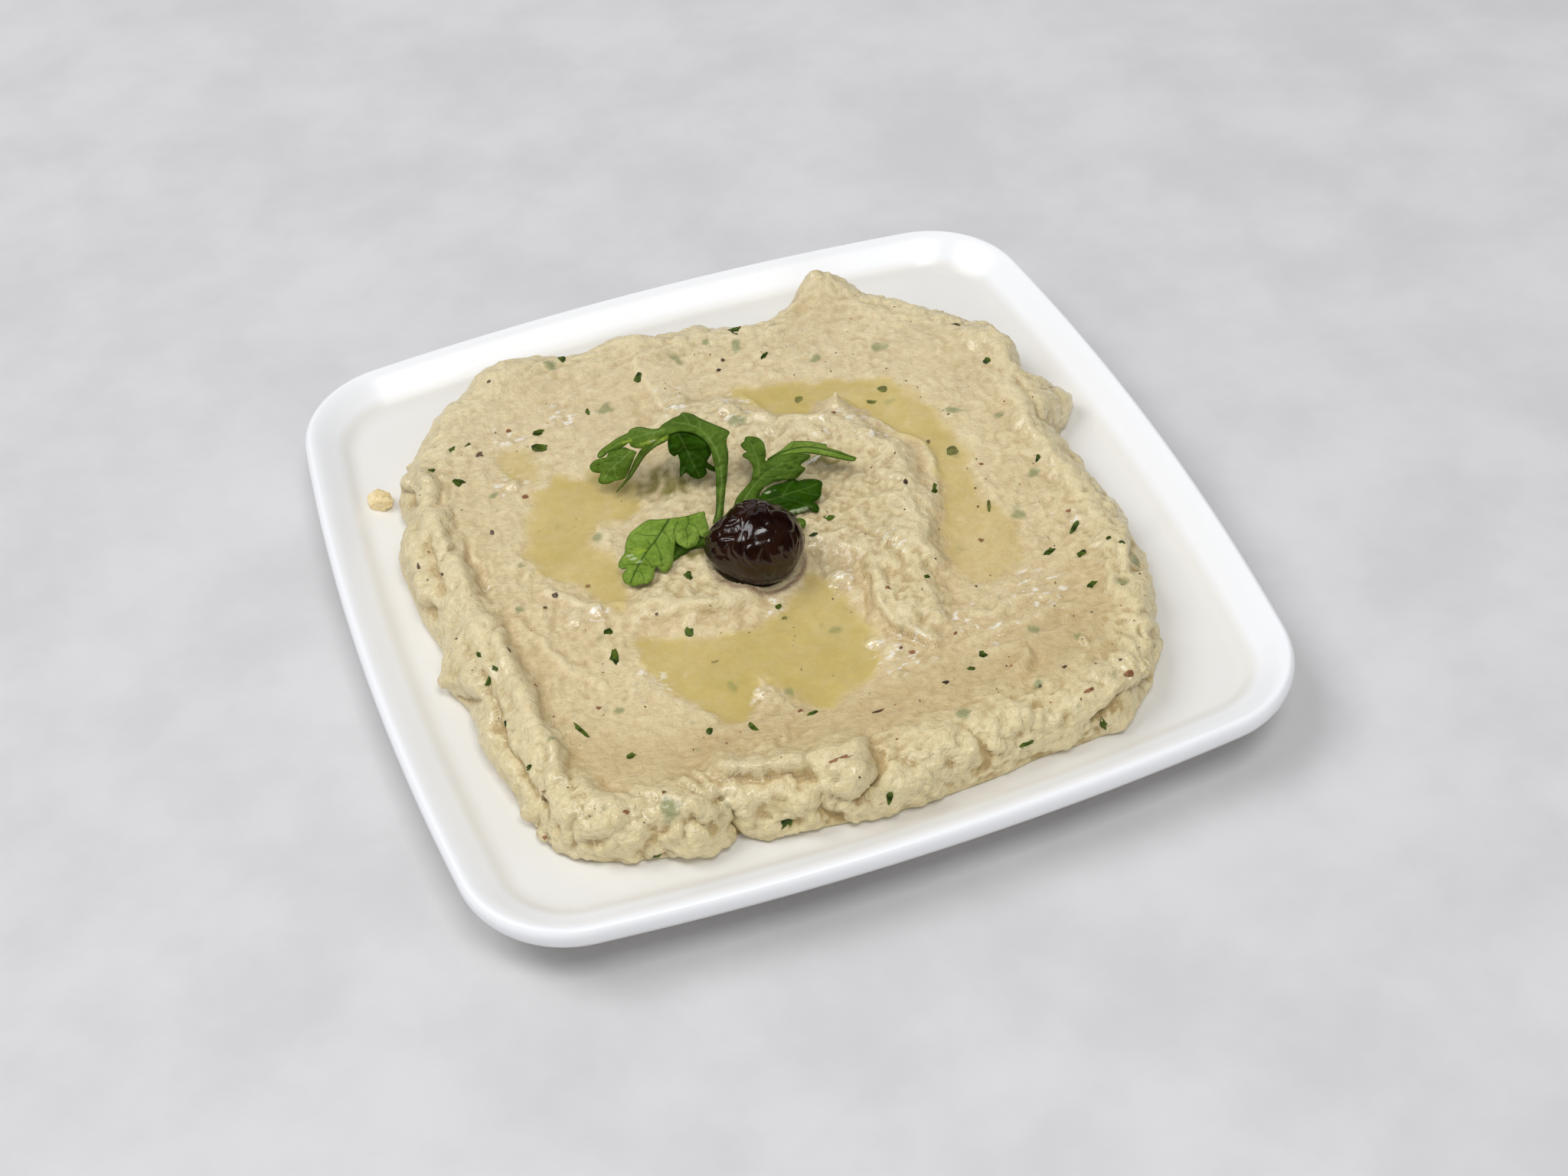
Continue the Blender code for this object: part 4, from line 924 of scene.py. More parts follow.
def speck_finish():
    """Dark flecks of charred skin and pepper."""
    speck = Finish("charred speck", roughness=0.45)
    tone = speck.noise(0.8, 2.0).eased(0.35, 0.65)
    colour = speck.blend(tone, paint(54, 42, 30), paint(104, 80, 54))
    return speck.feed(base_color=colour, normal=speck.bump(speck.noise(0.4, 2.0), 0.1, 0.5))


def russet_finish():
    """Red-brown flecks."""
    russet = Finish("russet fleck", roughness=0.45)
    tone = russet.noise(0.8, 2.0).eased(0.35, 0.65)
    colour = russet.blend(tone, paint(122, 80, 48), paint(164, 114, 76))
    return russet.feed(base_color=colour, normal=russet.bump(russet.noise(0.4, 2.0), 0.1, 0.5))


def rounded_square(half, side_radius, corner_radius, side_steps, corner_steps):
    """Closed outline of a square with bowed sides and round corners."""
    middle = half - side_radius
    reach = side_radius - corner_radius
    corner = (middle + math.sqrt(2 * reach ** 2 - middle ** 2)) / 2
    turn = math.atan2(corner, corner - middle)
    quarter = []
    for step in range(side_steps):
        angle = turn * (2 * step / side_steps - 1)
        quarter.append((middle + side_radius * math.cos(angle), side_radius * math.sin(angle)))
    for step in range(corner_steps):
        angle = turn + (math.pi / 2 - 2 * turn) * step / corner_steps
        quarter.append((corner + corner_radius * math.cos(angle), corner + corner_radius * math.sin(angle)))
    outline = []
    for cosine, sine in ((1, 0), (0, 1), (-1, 0), (0, -1)):
        outline.extend((cosine * px - sine * py, sine * px + cosine * py) for px, py in quarter)
    return outline


def dish_profile():
    """Section through the dish as (inset, height), from the well over the rim and under to the foot."""
    lip_bottom = DISH_HEIGHT - RIM_THICKNESS
    recess = WELL_FLOOR - WALL_THICKNESS
    foot_inner = FOOT_INSET + FOOT_WIDTH
    knots = [
        (RIM_WIDTH + 7.0, WELL_FLOOR), (RIM_WIDTH + 3.0, WELL_FLOOR), (RIM_WIDTH + 1.2, WELL_FLOOR + 0.12),
        (RIM_WIDTH - 0.4, WELL_FLOOR + 0.7), (RIM_WIDTH - 2.2, WELL_FLOOR + 1.85),
        (RIM_WIDTH - 4.1, WELL_FLOOR + 3.2), (3.6, DISH_HEIGHT - 1.05), (2.3, DISH_HEIGHT - 0.32),
        (1.3, DISH_HEIGHT), (0.6, DISH_HEIGHT - 0.35), (0.1, DISH_HEIGHT - 1.2),
        (0.0, DISH_HEIGHT - 2.6), (0.4, DISH_HEIGHT - 4.1), (1.5, lip_bottom),
        (5.0, lip_bottom - 1.3), (13.0, lip_bottom - 3.2), (FOOT_INSET - 4.0, recess - 0.2),
        (FOOT_INSET - 1.0, recess - 1.4), (FOOT_INSET, 0.5), (FOOT_INSET + 0.7, 0.0),
        (foot_inner - 0.7, 0.0), (foot_inner, 0.5), (foot_inner + 1.2, recess),
    ]
    curve = smooth_path(knots, 3)
    curve[:, 1] = np.clip(curve[:, 1], 0.0, DISH_HEIGHT)
    curve[:, 0] = np.maximum(curve[:, 0], 0.0)
    return curve


def build_dish(material):
    """The square dish, drawn out ring by ring from the well over the rim to the foot."""
    profile = dish_profile()
    rings = []
    for inset, height in profile:
        corner = max(CORNER_RADIUS - inset, SMALLEST_CORNER)
        outline = rounded_square(DISH_HALF - inset, SIDE_RADIUS - inset, corner, 18, 16)
        rings.append([(px * MM, py * MM, height * MM) for px, py in outline])
    deselect_all()
    bpy.ops.mesh.primitive_circle_add(vertices=len(rings[0]), radius=1.0, fill_type="NGON")
    piece = name_piece("porcelain_dish")
    edit(piece)
    work = bmesh.from_edit_mesh(piece.data)
    work.verts.ensure_lookup_table()
    for vertex, place in zip(work.verts, rings[0]):
        vertex.co = place
    for edge in work.edges:
        edge.select_set(True)
    bmesh.update_edit_mesh(piece.data)
    for ring in rings[1:]:
        bpy.ops.mesh.extrude_edges_move()
        work = bmesh.from_edit_mesh(piece.data)
        work.verts.ensure_lookup_table()
        for vertex, place in zip(work.verts[-len(ring):], ring):
            vertex.co = place
        bmesh.update_edit_mesh(piece.data)
    bpy.ops.mesh.edge_face_add()
    bpy.ops.mesh.select_all(action="SELECT")
    bpy.ops.mesh.normals_make_consistent(inside=False)
    leave_edit()
    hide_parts("dish")
    return finish_piece(piece, material, 50.0)


def build_dip(material):
    """The spread dip: a fine grid wrapped out to its uneven edge and rolled down to the dish."""
    deselect_all()
    bpy.ops.mesh.primitive_grid_add(x_subdivisions=DIP_CELLS, y_subdivisions=DIP_CELLS, size=2.0)
    piece = name_piece("paste")
    square = get_points(piece)[:, :2] * MM
    half = DIP_CELLS // 2
    wall = smooth_path(WALL_PROFILE, WALL_STEPS)
    first_wall = half - len(wall) + 1
    ring = np.rint(np.abs(square).max(axis=1) * half).astype(int)
    angle = np.arctan2(square[:, 1], square[:, 0])
    on_wall = np.clip(ring - first_wall, 0, len(wall) - 1)
    share = np.minimum(ring / first_wall, 1.0)
    radius = share * (outline_radius(angle) - wall[on_wall, 0])
    x = DIP_CENTRE[0] + radius * np.cos(angle)
    y = DIP_CENTRE[1] + radius * np.sin(angle)
    height, oil, relief = paste_height(x, y)
    height = seat(x, y, height)
    fall = wall[on_wall, 1]
    z = height - (height - DIP_BASE) * fall
    set_points(piece, np.column_stack([x, y, z]))
    points = get_points(piece)
    normals = get_normals(piece)
    rim_fade = smoothstep((half - ring) / 3.0)
    points = points + normals * (fine_folds(points, normals) * rim_fade)[:, None]
    points[:, 2] = np.maximum(points[:, 2], DIP_BASE)
    set_points(piece, points)
    normals = get_normals(piece)
    edge = from_edge(x, y)
    wild = 0.45 + 0.55 * np.maximum(smoothstep((-y - 40) / 20), 0.55 * smoothstep((x - 30) / 30))
    rough = 0.45 * noise(points, 7.5, 11) + 0.38 * billow(points, 4.6, 16)
    rough += 0.28 * billow(points, 2.4, 12) + 0.09 * noise(points, 1.3, 13)
    on_bank = smoothstep(1.0 - edge / 15.0) ** 0.7 * rim_fade * wild
    points = points + normals * (rough * on_bank)[:, None]
    points[:, 2] = np.maximum(points[:, 2], DIP_BASE)
    set_points(piece, points)
    normals = get_normals(piece)

    column = np.rint((square[:, 0] + 1.0) * half).astype(int)
    row = np.rint((square[:, 1] + 1.0) * half).astype(int)
    order = np.zeros((DIP_CELLS + 1, DIP_CELLS + 1), int)
    order[row, column] = np.arange(len(points))
    # How proud each point stands of its surroundings, for the paste's painted shade in hollows and painted highlight
    # on crests
    proud = np.zeros(len(points))
    for reach, share in ((2, 1.4), (5, 0.7), (12, 0.25)):
        sheet = np.pad(points[order], ((reach, reach), (reach, reach), (0, 0)), mode="edge")
        around = (sheet[2 * reach:, reach:-reach] + sheet[:-2 * reach, reach:-reach]
                  + sheet[reach:-reach, 2 * reach:] + sheet[reach:-reach, :-2 * reach]) / 4.0
        gap = points - around[row, column]
        proud += share * np.einsum("ij,ij->i", gap, normals)
    close_and_face_outwards(piece)
    extra = len(piece.data.vertices) - len(points)
    lumpy = np.clip(0.25 + 0.75 * smoothstep(1.0 - edge / 20.0) + 0.5 * mound_share(x, y), 0, 1)
    add_attribute(piece, "oil", np.append(oil, np.zeros(extra)))
    add_attribute(piece, "proud", np.append(np.clip(0.5 + 0.8 * proud, 0, 1), np.zeros(extra)))
    add_attribute(piece, "lumpy", np.append(lumpy, np.zeros(extra)))
    # painted shade in the trough behind the front bank
    painted_trough_shade = np.exp(-((edge - 19.0) / 8.0) ** 2) * smoothstep((-y - 34.0) / 18.0)
    add_attribute(piece, "painted_trough_shade", np.append(painted_trough_shade, np.zeros(extra)))
    return piece, material


def build_oil(name, level, outline, material, number):
    """One pool of oil: a thin sheet over its bed, with its depth stored."""
    shore = grow(smooth_path(outline, 4, closed=True), 1.6)
    piece = fill_outline(f"oil_{number}", shore, 1.3)
    points = get_points(piece)
    height, _, _ = paste_height(points[:, 0], points[:, 1])
    height = seat(points[:, 0], points[:, 1], height)
    _, _, richness = oil_cover(points[:, 0], points[:, 1])
    depth = smoothstep((level - height) / 0.6) * richness
    points[:, 2] = level
    set_points(piece, points)
    add_attribute(piece, "depth", depth)
    edit(piece)
    bpy.ops.mesh.select_all(action="SELECT")
    bpy.ops.mesh.extrude_region_move(TRANSFORM_OT_translate={"value": (0, 0, -OIL_DEPTH * MM)})
    bpy.ops.mesh.select_all(action="SELECT")
    bpy.ops.mesh.normals_make_consistent(inside=False)
    leave_edit()
    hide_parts(name)
    return finish_piece(piece, material)


def grow(outline, amount):
    """Offset a closed outline outwards by an amount."""
    ahead = np.roll(outline, -1, axis=0) - np.roll(outline, 1, axis=0)
    ahead /= np.hypot(ahead[:, 0], ahead[:, 1])[:, None]
    area = np.sum(outline[:, 0] * np.roll(outline[:, 1], -1) - np.roll(outline[:, 0], -1) * outline[:, 1])
    outwards = np.column_stack([ahead[:, 1], -ahead[:, 0]]) * np.sign(area)
    return outline + amount * outwards


def fill_outline(name, outline, spacing):
    """A flat mesh that fills a closed outline with points at an even spacing."""
    low, high = outline.min(axis=0), outline.max(axis=0)
    rows = np.arange(low[1], high[1], spacing * 0.87)
    inner = []
    for number, row in enumerate(rows):
        for column in np.arange(low[0] + (number % 2) * spacing / 2, high[0], spacing):
            inner.append((column, row))
    inner = np.array(inner)
    inside = distance_inside(inner[:, 0], inner[:, 1], outline) > spacing * 0.45
    points = np.vstack([outline, inner[inside]])
    count = len(outline)
    rim = [(index, (index + 1) % count) for index in range(count)]
    made = geometry.delaunay_2d_cdt([Vector(point) for point in points], rim, [], 1, 1e-6)
    mesh = bpy.data.meshes.new(name)
    mesh.from_pydata([(point[0] * MM, point[1] * MM, 0) for point in made[0]], [], made[2])
    piece = bpy.data.objects.new(name, mesh)
    bpy.context.scene.collection.objects.link(piece)
    return piece


def build_olive(material):
    """The olive: a shrivelled skin drawn over its flesh, pointed at its left end."""
    deselect_all()
    bpy.ops.mesh.primitive_uv_sphere_add(segments=192, ring_count=128, radius=1.0)
    piece = name_piece("black_olive")
    ball = get_points(piece) * MM
    direction = ball[:, [2, 0, 1]]
    direction /= np.linalg.norm(direction, axis=1)[:, None]
    length = direction[:, 0]
    top = smoothstep((direction[:, 2] + 0.1) / 0.6)
    random = np.random.default_rng(21)
    cell = random.normal(size=(OLIVE_CELLS, 3))
    cell /= np.linalg.norm(cell, axis=1)[:, None]
    bent = direction + 0.07 * np.column_stack([noise(direction, 0.6, seed) for seed in (61, 62, 63)])
    stretch = np.array([1.9, 1.0, 0.8])
    gaps = np.sort(np.linalg.norm((bent[:, None, :] - cell[None, :, :]) * stretch, axis=2), axis=1)
    wrinkle = np.exp(-((gaps[:, 1] - gaps[:, 0]) / 0.075) ** 2)
    wrinkle *= smoothstep(0.65 + 0.5 * noise(direction, 0.5, 22)) * (0.1 + 0.9 * top)
    dent = noise(direction, 0.5, 24)
    ring = np.linalg.norm(direction - np.array(OLIVE_STALK_END) / np.linalg.norm(OLIVE_STALK_END), axis=1)
    groove = np.exp(-((ring - 0.40) / 0.05) ** 2) * smoothstep(0.7 - direction[:, 1])
    crease = np.maximum(wrinkle, groove)
    swell = smoothstep((gaps[:, 1] - gaps[:, 0]) / 0.30)
    factor = 0.985 - 0.038 * wrinkle - 0.03 * groove + 0.014 * dent + 0.018 * swell
    taper = smoothstep(-length) ** 1.3
    stretched = np.column_stack([1.0 + 0.10 * smoothstep((-length - 0.55) / 0.45),
                                 1.0 - 0.20 * taper, 1.0 - 0.16 * taper])
    scaled = direction * np.array(OLIVE_HALF) * stretched * factor[:, None]
    cosine, sine = math.cos(OLIVE_TURN), math.sin(OLIVE_TURN)
    points = np.column_stack([cosine * scaled[:, 0] - sine * scaled[:, 1],
                              sine * scaled[:, 0] + cosine * scaled[:, 1], scaled[:, 2]])
    set_points(piece, points + olive_place())
    add_attribute(piece, "crease", crease)
    edit(piece)
    bpy.ops.mesh.select_all(action="SELECT")
    bpy.ops.mesh.normals_make_consistent(inside=False)
    leave_edit()
    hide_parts("olive")
    return finish_piece(piece, material)


def sheet_height(points, pins):
    """Height at plan points of the smoothest sheet through the pins."""
    pins = np.asarray(pins, float)

    def bend(first, second):
        square = ((first[:, None, :] - second[None, :, :]) ** 2).sum(axis=2)
        return square * np.log(square + 1e-9)

    count = len(pins)
    level = np.column_stack([np.ones(count), pins[:, :2]])
    system = np.zeros((count + 3, count + 3))
    system[:count, :count] = bend(pins[:, :2], pins[:, :2]) + np.eye(count) * 1e-3
    system[:count, count:] = level
    system[count:, :count] = level.T
    weights = np.linalg.solve(system, np.append(pins[:, 2], [0, 0, 0]))
    plane = np.column_stack([np.ones(len(points)), points])
    return bend(points, pins[:, :2]) @ weights[:count] + plane @ weights[count:]


def build_blade(name, pale, outline, pins, veins):
    """One blade of the parsley: its outline filled, bent through the pins and given a thickness."""
    piece = fill_outline(name, smooth_path(outline, 3, closed=True), 0.27)
    plan = get_points(piece)[:, :2]
    flat = np.column_stack([plan, np.zeros(len(plan))])
    vein = np.zeros(len(plan))
    for number, path in enumerate(veins):
        distance, _, along = nearest_on_path(plan[:, 0], plan[:, 1], smooth_path(path, 4))
        width = (0.26 if number == 0 else 0.17) * (1.0 - 0.4 * along)
        vein = np.maximum(vein, np.exp(-(distance / width) ** 2) * (1.0 if number == 0 else 0.75))
    edge = distance_inside(plan[:, 0], plan[:, 1], smooth_path(outline, 3, closed=True))
    height = sheet_height(plan, pins)
    height = height + 0.16 * noise(flat, 3.2, 71) + 0.05 * noise(flat, 1.2, 72) - 0.14 * vein
    height = height - 0.30 * (1.0 - smoothstep(edge / 0.9))
    eye = np.array(EYE) / MM
    share = (eye[2] - height) / (eye[2] - PLAN_LEVEL)
    set_points(piece, np.column_stack([eye[:2] + (plan - eye[:2]) * share[:, None], height]))
    add_attribute(piece, "vein", vein)
    add_attribute(piece, "pale", np.full(len(plan), pale))
    add_attribute(piece, "rim", 1.0 - smoothstep(edge / 0.4))
    # painted light through the leaves and painted glints on them, by spot
    for kind, spots in (("painted_backlight", BACKLIT_SPOTS), ("painted_glint", LEAF_PAINTED_GLINTS)):
        share = [np.hypot((plan[:, 0] - x) / wide, (plan[:, 1] - y) / high) for x, y, wide, high in spots]
        add_attribute(piece, kind, smoothstep(1.5 - np.min(share, axis=0) + 0.3 * noise(flat, 0.8, 73)))
    edit(piece)
    bpy.ops.mesh.select_all(action="SELECT")
    bpy.ops.mesh.normals_make_consistent(inside=False)
    leave_edit()
    thick = piece.modifiers.new("thickness", "SOLIDIFY")
    thick.thickness = BLADE_THICKNESS * MM
    thick.offset = 0.0
    bpy.ops.object.modifier_apply(modifier="thickness")
    return piece


def build_parsley(material):
    """The sprig: its blades and the short stalk behind the olive."""
    blades = [build_blade(*blade) for blade in BLADES]
    deselect_all()
    for blade in blades:
        blade.select_set(True)
    bpy.context.view_layer.objects.active = blades[0]
    bpy.ops.object.join()
    piece = name_piece("parsley_leaves")
    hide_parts("parsley_sprig")
    return finish_piece(piece, material)


def build_crumb(material):
    """A crumb of the dip on the dish: a lump with worn flat sides."""
    deselect_all()
    bpy.ops.mesh.primitive_ico_sphere_add(subdivisions=5, radius=1.0)
    piece = name_piece("loose_crumb")
    ball = get_points(piece) * MM
    random = np.random.default_rng(81)
    reach = np.full(len(ball), 1.15)
    for _ in range(11):
        facing = random.normal(size=3)
        facing /= np.linalg.norm(facing)
        slope = np.maximum(ball @ facing, 1e-3)
        reach = np.minimum(reach, random.uniform(0.66, 0.95) / slope)
    points = ball * (reach + 0.025 * noise(ball, 0.3, 82) + 0.01 * noise(ball, 0.12, 83))[:, None]
    points = points * np.array(CRUMB_SIZE) * 0.95
    points[:, 2] = np.maximum(points[:, 2] + 0.62 * CRUMB_SIZE[2], 0.0) + DIP_BASE
    set_points(piece, points + np.array([*CRUMB_PLACE, 0.0]))
    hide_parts("dip_crumb")
    return finish_piece(piece, material, 30.0)


# Flecks: x, y on the plan level, length, width, turn in degrees
HERBS = (
    (-57, 46, 1.6, 1.2, 20), (-53.5, 46, 1.8, 0.8, 40), (-58.5, 35, 3.0, 2.2, -20), (-63, 41, 1.4, 1.0, 0),
    (-39, 39, 3.6, 2.4, -20), (-38, 44, 2.6, 1.6, 20), (-51.5, 62, 1.8, 1.4, 10), (-26, 66, 1.8, 3.0, 10),
    (-12, 53, 2.0, 2.6, -30), (-26, 46, 1.0, 2.4, -10), (13.5, 60.5, 2.6, 2.8, 30), (17, 49.5, 3.4, 1.1, 45),
    (62, 28, 1.8, 1.8, 0), (18.5, 32, 1.6, 2.4, -30), (33, 25, 2.6, 1.1, -35), (37, 28, 2.2, 2.2, 0),
    (43, 3, 2.2, 3.0, -20), (35, -6, 1.3, 3.4, -30), (59, -6, 2.2, 1.3, 50), (43, -16, 0.7, 3.6, -25),
    (49, -33, 3.2, 1.6, 25), (55, -36, 2.4, 1.5, 35), (57, -28.5, 3.4, 1.2, 40), (62, -34, 1.0, 0.8, 0),
    (64, -36, 1.2, 1.8, 10), (53, -45, 2.8, 1.2, 15), (24.5, -54.5, 1.8, 1.8, 20), (21, -57, 1.6, 0.9, -30),
    (23, -79, 3.2, 1.0, 10), (38.5, -80, 1.4, 2.6, 20), (-27, -26.5, 1.8, 2.6, -10), (-12, -56, 2.8, 1.0, 15),
    (-32, -53, 1.6, 1.6, 30), (-24, -55, 1.2, 2.6, 30), (-48, -53, 1.8, 1.2, 20), (-55, -43, 1.1, 4.4, 20),
    (-67, -48.5, 1.8, 1.0, 10), (-42, -20, 2.0, 1.8, 30), (-43, -27, 2.2, 4.2, -20), (-68, -16, 1.0, 2.6, 10),
    (-68, -36, 1.0, 1.6, -20), (-22, -11, 1.8, 2.6, -10), (11, -6, 2.4, 1.4, -20), (6, -9.5, 2.2, 0.9, -20),
    (-26, -79, 2.4, 1.6, 10), (-51, -78, 2.2, 1.2, 20), (-6, -81, 1.4, 2.4, -20), (-68, -24, 1.2, 2.2, -20),
    (23, -30, 1.4, 1.0, 10), (-8, -26.5, 1.4, 1.2, 20), (-8, -30, 1.2, 0.9, 0), (-66, -21, 1.0, 1.6, 30),
)
SUNKEN = (
    (-52.5, 28, 1.5, 1.0, 0), (-29, 65, 1.5, 2.4, 10), (-2, 56, 1.2, 3.2, 10), (-22, 46, 2.6, 2.2, 30),
    (12, 55, 1.4, 2.8, -20), (27, 44, 1.6, 1.6, 0), (42, 42, 2.4, 1.6, -10), (48.5, 15.5, 2.8, 1.3, -20),
    (57, 10, 2.0, 1.0, 10), (56, -10, 1.8, 1.6, 30), (48, -20, 2.2, 2.2, 0), (59, -47, 1.4, 1.6, 20),
    (15, -67, 1.4, 2.6, -20), (0.5, -37, 1.6, 1.0, 0), (-24, -44, 1.0, 1.8, 0), (-14, -49, 1.2, 2.0, 0),
    (-46.5, -41, 1.4, 1.2, 0), (-60.5, -43, 1.3, 1.0, 0), (-45, -68, 2.6, 2.6, 0), (-36, 7, 1.8, 2.2, 0),
    (4, 31, 2.6, 2.6, 30), (-57, -7, 1.2, 1.0, 0), (64, -42, 1.4, 2.4, -20), (37, -52, 1.8, 1.2, -20),
    (6, 59, 1.0, 1.2, 0), (31, -66, 1.6, 1.0, 30), (44, -57, 1.2, 0.8, 20), (-53, 5, 0.9, 0.7, 0),
)
SPECKS = (
    (-52, 42, 1.6, 1.6, 0), (-56, 17, 1.0, 1.3, 20), (-43.5, 65, 1.1, 1.0, 0), (7.5, 51.5, 1.0, 1.0, 0),
    (5.5, 48.5, 1.1, 0.9, 0), (61, 42.5, 2.0, 1.0, -30), (68, 42, 1.8, 1.2, 20), (30, -2, 0.9, 1.5, -20),
    (15, -58.5, 1.4, 0.9, -20), (38, -63.5, 1.1, 0.7, 20), (31.5, -66.5, 0.7, 0.7, 0), (0, -60.5, 2.8, 0.5, 0),
    (-25, -36, 1.5, 0.6, 0), (-62, -17, 0.6, 1.5, 10), (-49, -6, 1.4, 1.3, 20), (-31.5, -19, 0.7, 0.6, 0),
    (41, -15, 0.6, 0.6, 0), (52, -76, 0.7, 0.7, 0), (49, -66, 0.6, 0.6, 0), (49.5, -52, 0.5, 0.5, 0),
    (-52, -8.5, 1.0, 0.7, 10), (39.5, 8, 0.9, 1.4, -20), (-73, 13, 0.6, 1.6, -10), (-69, 9, 0.8, 1.4, 10),
)
RUSSETS = (
    (-46.5, 25, 1.3, 1.1, 0), (47, -3, 1.1, 0.9, 0), (37.5, -24.5, 1.2, 1.1, 30), (58, -23.5, 1.2, 0.9, 0),
    (68, -36, 0.9, 1.2, 0), (49, -70, 2.4, 1.4, 10), (40, -71, 2.6, 1.0, 20), (-14, -54.5, 1.3, 0.8, 20),
    (-66.5, -57, 0.9, 1.0, 0), (-42, -6, 1.0, 0.9, 0), (-10.5, -69, 5.0, 0.9, -3), (24, 25, 1.0, 1.0, 0),
    (12, -48.5, 1.4, 0.9, 0), (10.5, -46.5, 0.8, 0.7, 0), (22, -47, 1.2, 0.8, 20), (-44, 47, 1.3, 1.0, 0),
    (-45, -64, 0.9, 1.1, 0), (14.5, -30, 1.0, 1.2, 0), (25, 5, 0.6, 0.6, 0), (-30, -57, 0.6, 0.6, 0),
    (-69, -66, 1.1, 0.8, 0), (15, 61, 0.8, 0.8, 0), (-53, -66, 1.6, 0.8, 0), (-50, -39, 0.9, 0.9, 0),
)

# Painted shade under the leaves: x, y on the plan level, length, width, turn in degrees
PAINTED_LEAF_SHADES = ((-20, 19, 8.5, 4.6, 30), (-15, 16.5, 8, 5, 10), (16, 12, 7, 2.6, -30), (-18, -5.5, 7, 2, -20), (-6, 3, 4, 2, 0))


def view_hit(tree, x, y):
    """Where the line from the eye through a point of the plan level meets the paste."""
    line = Vector((x * MM, y * MM, PLAN_LEVEL * MM)) - EYE
    place, normal, _, _ = tree.ray_cast(EYE, line.normalized())
    return place, normal


def patch_share(tree, points, patches, softness):
    """How far points of the paste lie inside any of the patches, by their places on the plan level."""
    share = np.zeros(len(points))
    for x, y, length, width, turn in patches:
        place, _ = view_hit(tree, x, y)
        if place is None:
            continue
        angle = math.radians(turn)
        dx, dy = points[:, 0] - place.x / MM, points[:, 1] - place.y / MM
        along = (dx * math.cos(angle) + dy * math.sin(angle)) / length
        across = (dy * math.cos(angle) - dx * math.sin(angle)) / width
        edge = np.hypot(along, across) + 0.16 * noise(points, 1.8, 31)
        share = np.maximum(share, smoothstep((1.0 - edge) / softness))
    return share


def build_flecks(name, tree, spots, material, thickness, lift, seed):
    """Flat flecks with ragged outlines, each laid on the surface below it."""
    random = np.random.default_rng(seed)
    points, faces = [], []
    for x, y, length, width, turn in spots:
        place, normal = view_hit(tree, x, y)
        if place is None:
            continue
        side = normal.orthogonal().normalized()
        side = Vector((1, 0, 0)) - normal * normal.x
        side.normalize()
        up = normal.cross(side)
        angle = math.radians(turn)
        along = side * math.cos(angle) + up * math.sin(angle)
        across = up * math.cos(angle) - side * math.sin(angle)
        count = 9
        first = len(points)
        rim = []
        for index in range(count):
            phase = 2 * math.pi * (index + random.uniform(-0.25, 0.25)) / count
            reach = random.uniform(0.62, 1.3)
            rim.append(place + (along * (math.cos(phase) * length / 2) + across * (math.sin(phase) * width / 2)) * reach * MM)
        for layer in (lift, lift - thickness):
            for spot in rim + [place]:
                found, _, _, _ = tree.ray_cast(spot + normal * 0.003, -normal)
                found = found if found is not None and (found - spot).length < 0.0025 else spot
                crown = 0.10 if spot is place and layer == lift else 0.0
                points.append(found + normal * (layer + crown) * MM)
        middle_top, middle_bottom = first + count, first + 2 * count + 1
        for index in range(count):
            following = (index + 1) % count
            a, b = first + index, first + following
            c, d = first + count + 1 + following, first + count + 1 + index
            faces.append((a, b, middle_top))
            faces.append((d, middle_bottom, c))
            faces.append((a, d, c, b))
    mesh = bpy.data.meshes.new(name)
    mesh.from_pydata(points, [], faces)
    piece = bpy.data.objects.new(name, mesh)
    bpy.context.scene.collection.objects.link(piece)
    edit(piece)
    bpy.ops.mesh.select_all(action="SELECT")
    bpy.ops.mesh.normals_make_consistent(inside=False)
    leave_edit()
    return finish_piece(piece, material, 40.0)


def scatter(tree, count, sizes, seed):
    """Random small flecks all over the paste."""
    random = np.random.default_rng(seed)
    spots = []
    while len(spots) < count:
        x, y = random.uniform(-78, 78, 2)
        if from_edge(np.array([x]), np.array([y]))[0] > 1.0:
            size = random.uniform(*sizes)
            spots.append((x, y, size, size * random.uniform(0.4, 1.0), random.uniform(0, 180)))
    return spots


def build_floor():
    """A plain pale floor."""
    deselect_all()
    bpy.ops.mesh.primitive_plane_add(size=6.0)
    floor = name_piece("floor")
    stone = Finish("pale floor", roughness=0.6)
    colour = stone.blend(stone.noise(40.0, 4.0, 0.6).eased(0.3, 0.7), paint(208, 207, 208), paint(219, 218, 219))
    floor.data.materials.append(stone.feed(base_color=colour))


def add_light(name, place, size, power, colour, target=(0, 0, 0)):
    """A soft rectangular light aimed at a point."""
    data = bpy.data.lights.new(name, "AREA")
    data.shape = "RECTANGLE"
    data.size, data.size_y = size
    data.energy = power
    data.color = colour
    light = bpy.data.objects.new(name, data)
    light.location = place
    light.rotation_mode = "QUATERNION"
    light.rotation_quaternion = (Vector(place) - Vector(target)).to_track_quat("Z", "Y")
    bpy.context.scene.collection.objects.link(light)
    return light


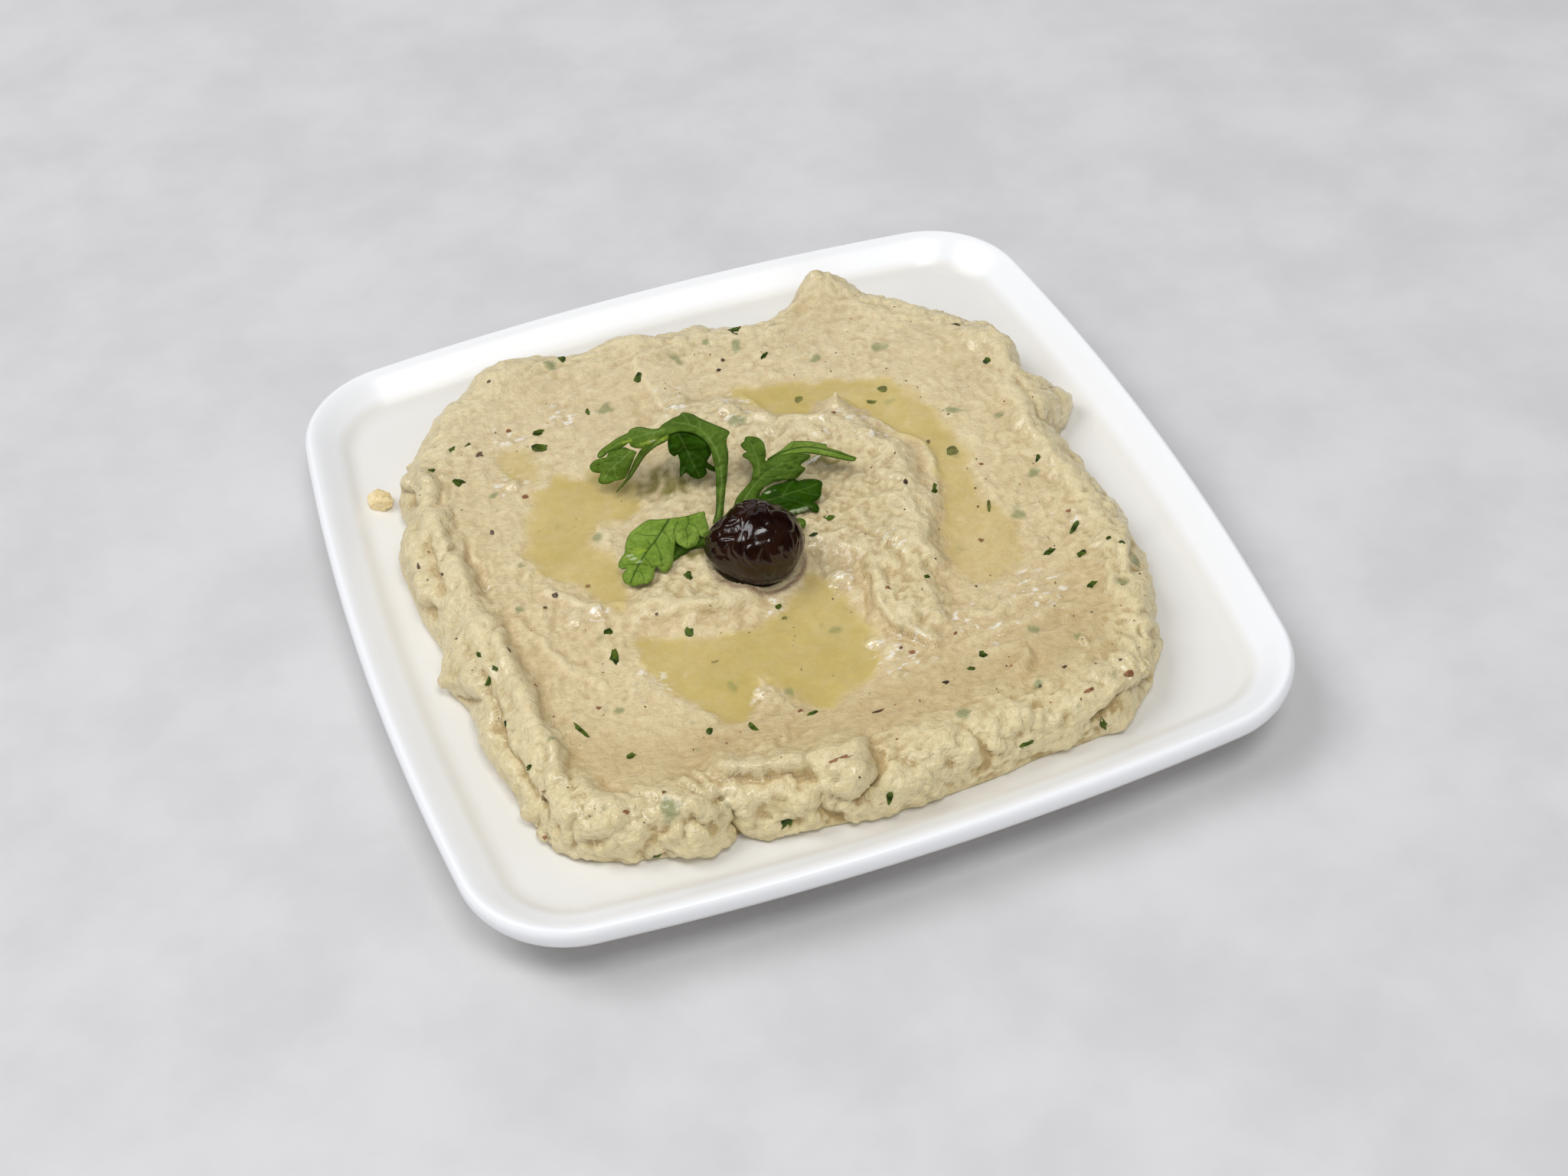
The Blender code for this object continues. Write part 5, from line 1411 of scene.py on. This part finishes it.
def build_lights():
    """A window on the left and a softbox overhead, with a pale surround."""
    world = bpy.data.worlds.new("studio")
    bpy.context.scene.world = world
    world.use_nodes = True
    sky = world.node_tree.nodes["Background"]
    sky.inputs["Color"].default_value = (0.97, 0.985, 1.02, 1.0)
    sky.inputs["Strength"].default_value = 0.30
    world.cycles_visibility.glossy = False
    add_light("side window", (-1.25, 0.55, 1.90), (1.20, 1.20), 23.2, (0.99, 0.995, 1.01))
    fill = add_light("front fill", (-0.30, -2.00, 1.20), (1.50, 1.50), 7.0, (1.0, 0.99, 0.97))
    fill.visible_glossy = False
    add_light("back panel", (0.40, 2.20, 1.30), (2.20, 1.00), 3.4, (1.0, 1.0, 1.0))
    add_light("overhead softbox", (0.06, -0.72, 2.00), (0.75, 0.80), 16.0, (1.0, 1.0, 1.0))


def build_camera():
    """The camera, looking down at the near side from the left."""
    data = bpy.data.cameras.new("camera")
    data.sensor_width = 36.0
    data.lens = LENS
    data.shift_x = -0.0016
    data.clip_start, data.clip_end = 0.01, 20.0
    camera = bpy.data.objects.new("camera", data)
    back = EYE_RIGHT.cross(EYE_UP)
    camera.matrix_world = Matrix((
        (EYE_RIGHT.x, EYE_UP.x, back.x, EYE.x),
        (EYE_RIGHT.y, EYE_UP.y, back.y, EYE.y),
        (EYE_RIGHT.z, EYE_UP.z, back.z, EYE.z),
        (0, 0, 0, 1)))
    bpy.context.scene.collection.objects.link(camera)
    bpy.context.scene.camera = camera


def build():
    """Make every piece."""
    build_dish(glaze_finish())
    dip, paste = build_dip(paste_finish())
    tree = BVHTree.FromPolygons([v.co.copy() for v in dip.data.vertices],
                                [tuple(f.vertices) for f in dip.data.polygons][:-1])
    points = get_points(dip)
    faint = patch_share(tree, points, scatter(tree, 70, (0.7, 1.7), 46), 0.9)
    add_attribute(dip, "sunken", np.maximum(0.7 * patch_share(tree, points, SUNKEN, 0.6), 0.35 * faint))
    # painted shade under the leaves
    add_attribute(dip, "painted_leaf_shade", patch_share(tree, points, PAINTED_LEAF_SHADES, 1.0))
    flat = points * np.array([1, 1, 0.0])
    painted_glint = np.zeros(len(points))
    plan = on_plan(points)
    # wet spots, glossier and with painted glints
    for x, y, radius in WET_AND_GLINT_SPOTS:
        away = np.hypot(plan[:, 0] - x, plan[:, 1] - y) / radius
        painted_glint = np.maximum(painted_glint, smoothstep(1.6 - away + 0.4 * noise(flat, 2.0, 33)))
    add_attribute(dip, "wet", np.maximum(painted_glint, 0.6 * smoothstep((noise(flat, 11.0, 32) - 0.3) / 1.0)))
    add_attribute(dip, "painted_glint", painted_glint)
    middle = olive_place()
    ring = np.hypot((points[:, 0] - middle[0]) / OLIVE_HALF[0], (points[:, 1] - middle[1]) / OLIVE_HALF[1])
    front = smoothstep((middle[1] + 2.0 - points[:, 1]) / 6.0)
    add_attribute(dip, "juice", front * np.exp(-((ring - 1.0) / 0.07) ** 2))
    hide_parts("baba_ganoush")
    finish_piece(dip, paste, 180.0)
    oil = oil_finish()
    for number, (name, level, outline) in enumerate(POOLS, 1):
        build_oil(name, level, outline, oil, number)
    build_olive(olive_finish())
    build_parsley(leaf_finish())
    build_crumb(crumb_finish())
    build_flecks("herb_flecks", tree, HERBS, herb_finish(), 0.35, 0.14, 41)
    build_flecks("charred_specks", tree, list(SPECKS) + scatter(tree, 80, (0.2, 0.55), 42),
                 speck_finish(), 0.35, 0.12, 43)
    build_flecks("russet_flecks", tree, list(RUSSETS) + scatter(tree, 60, (0.2, 0.6), 44),
                 russet_finish(), 0.35, 0.10, 45)


build_camera()
build_lights()
build_floor()
build()
bpy.context.scene.view_settings.view_transform = "Standard"
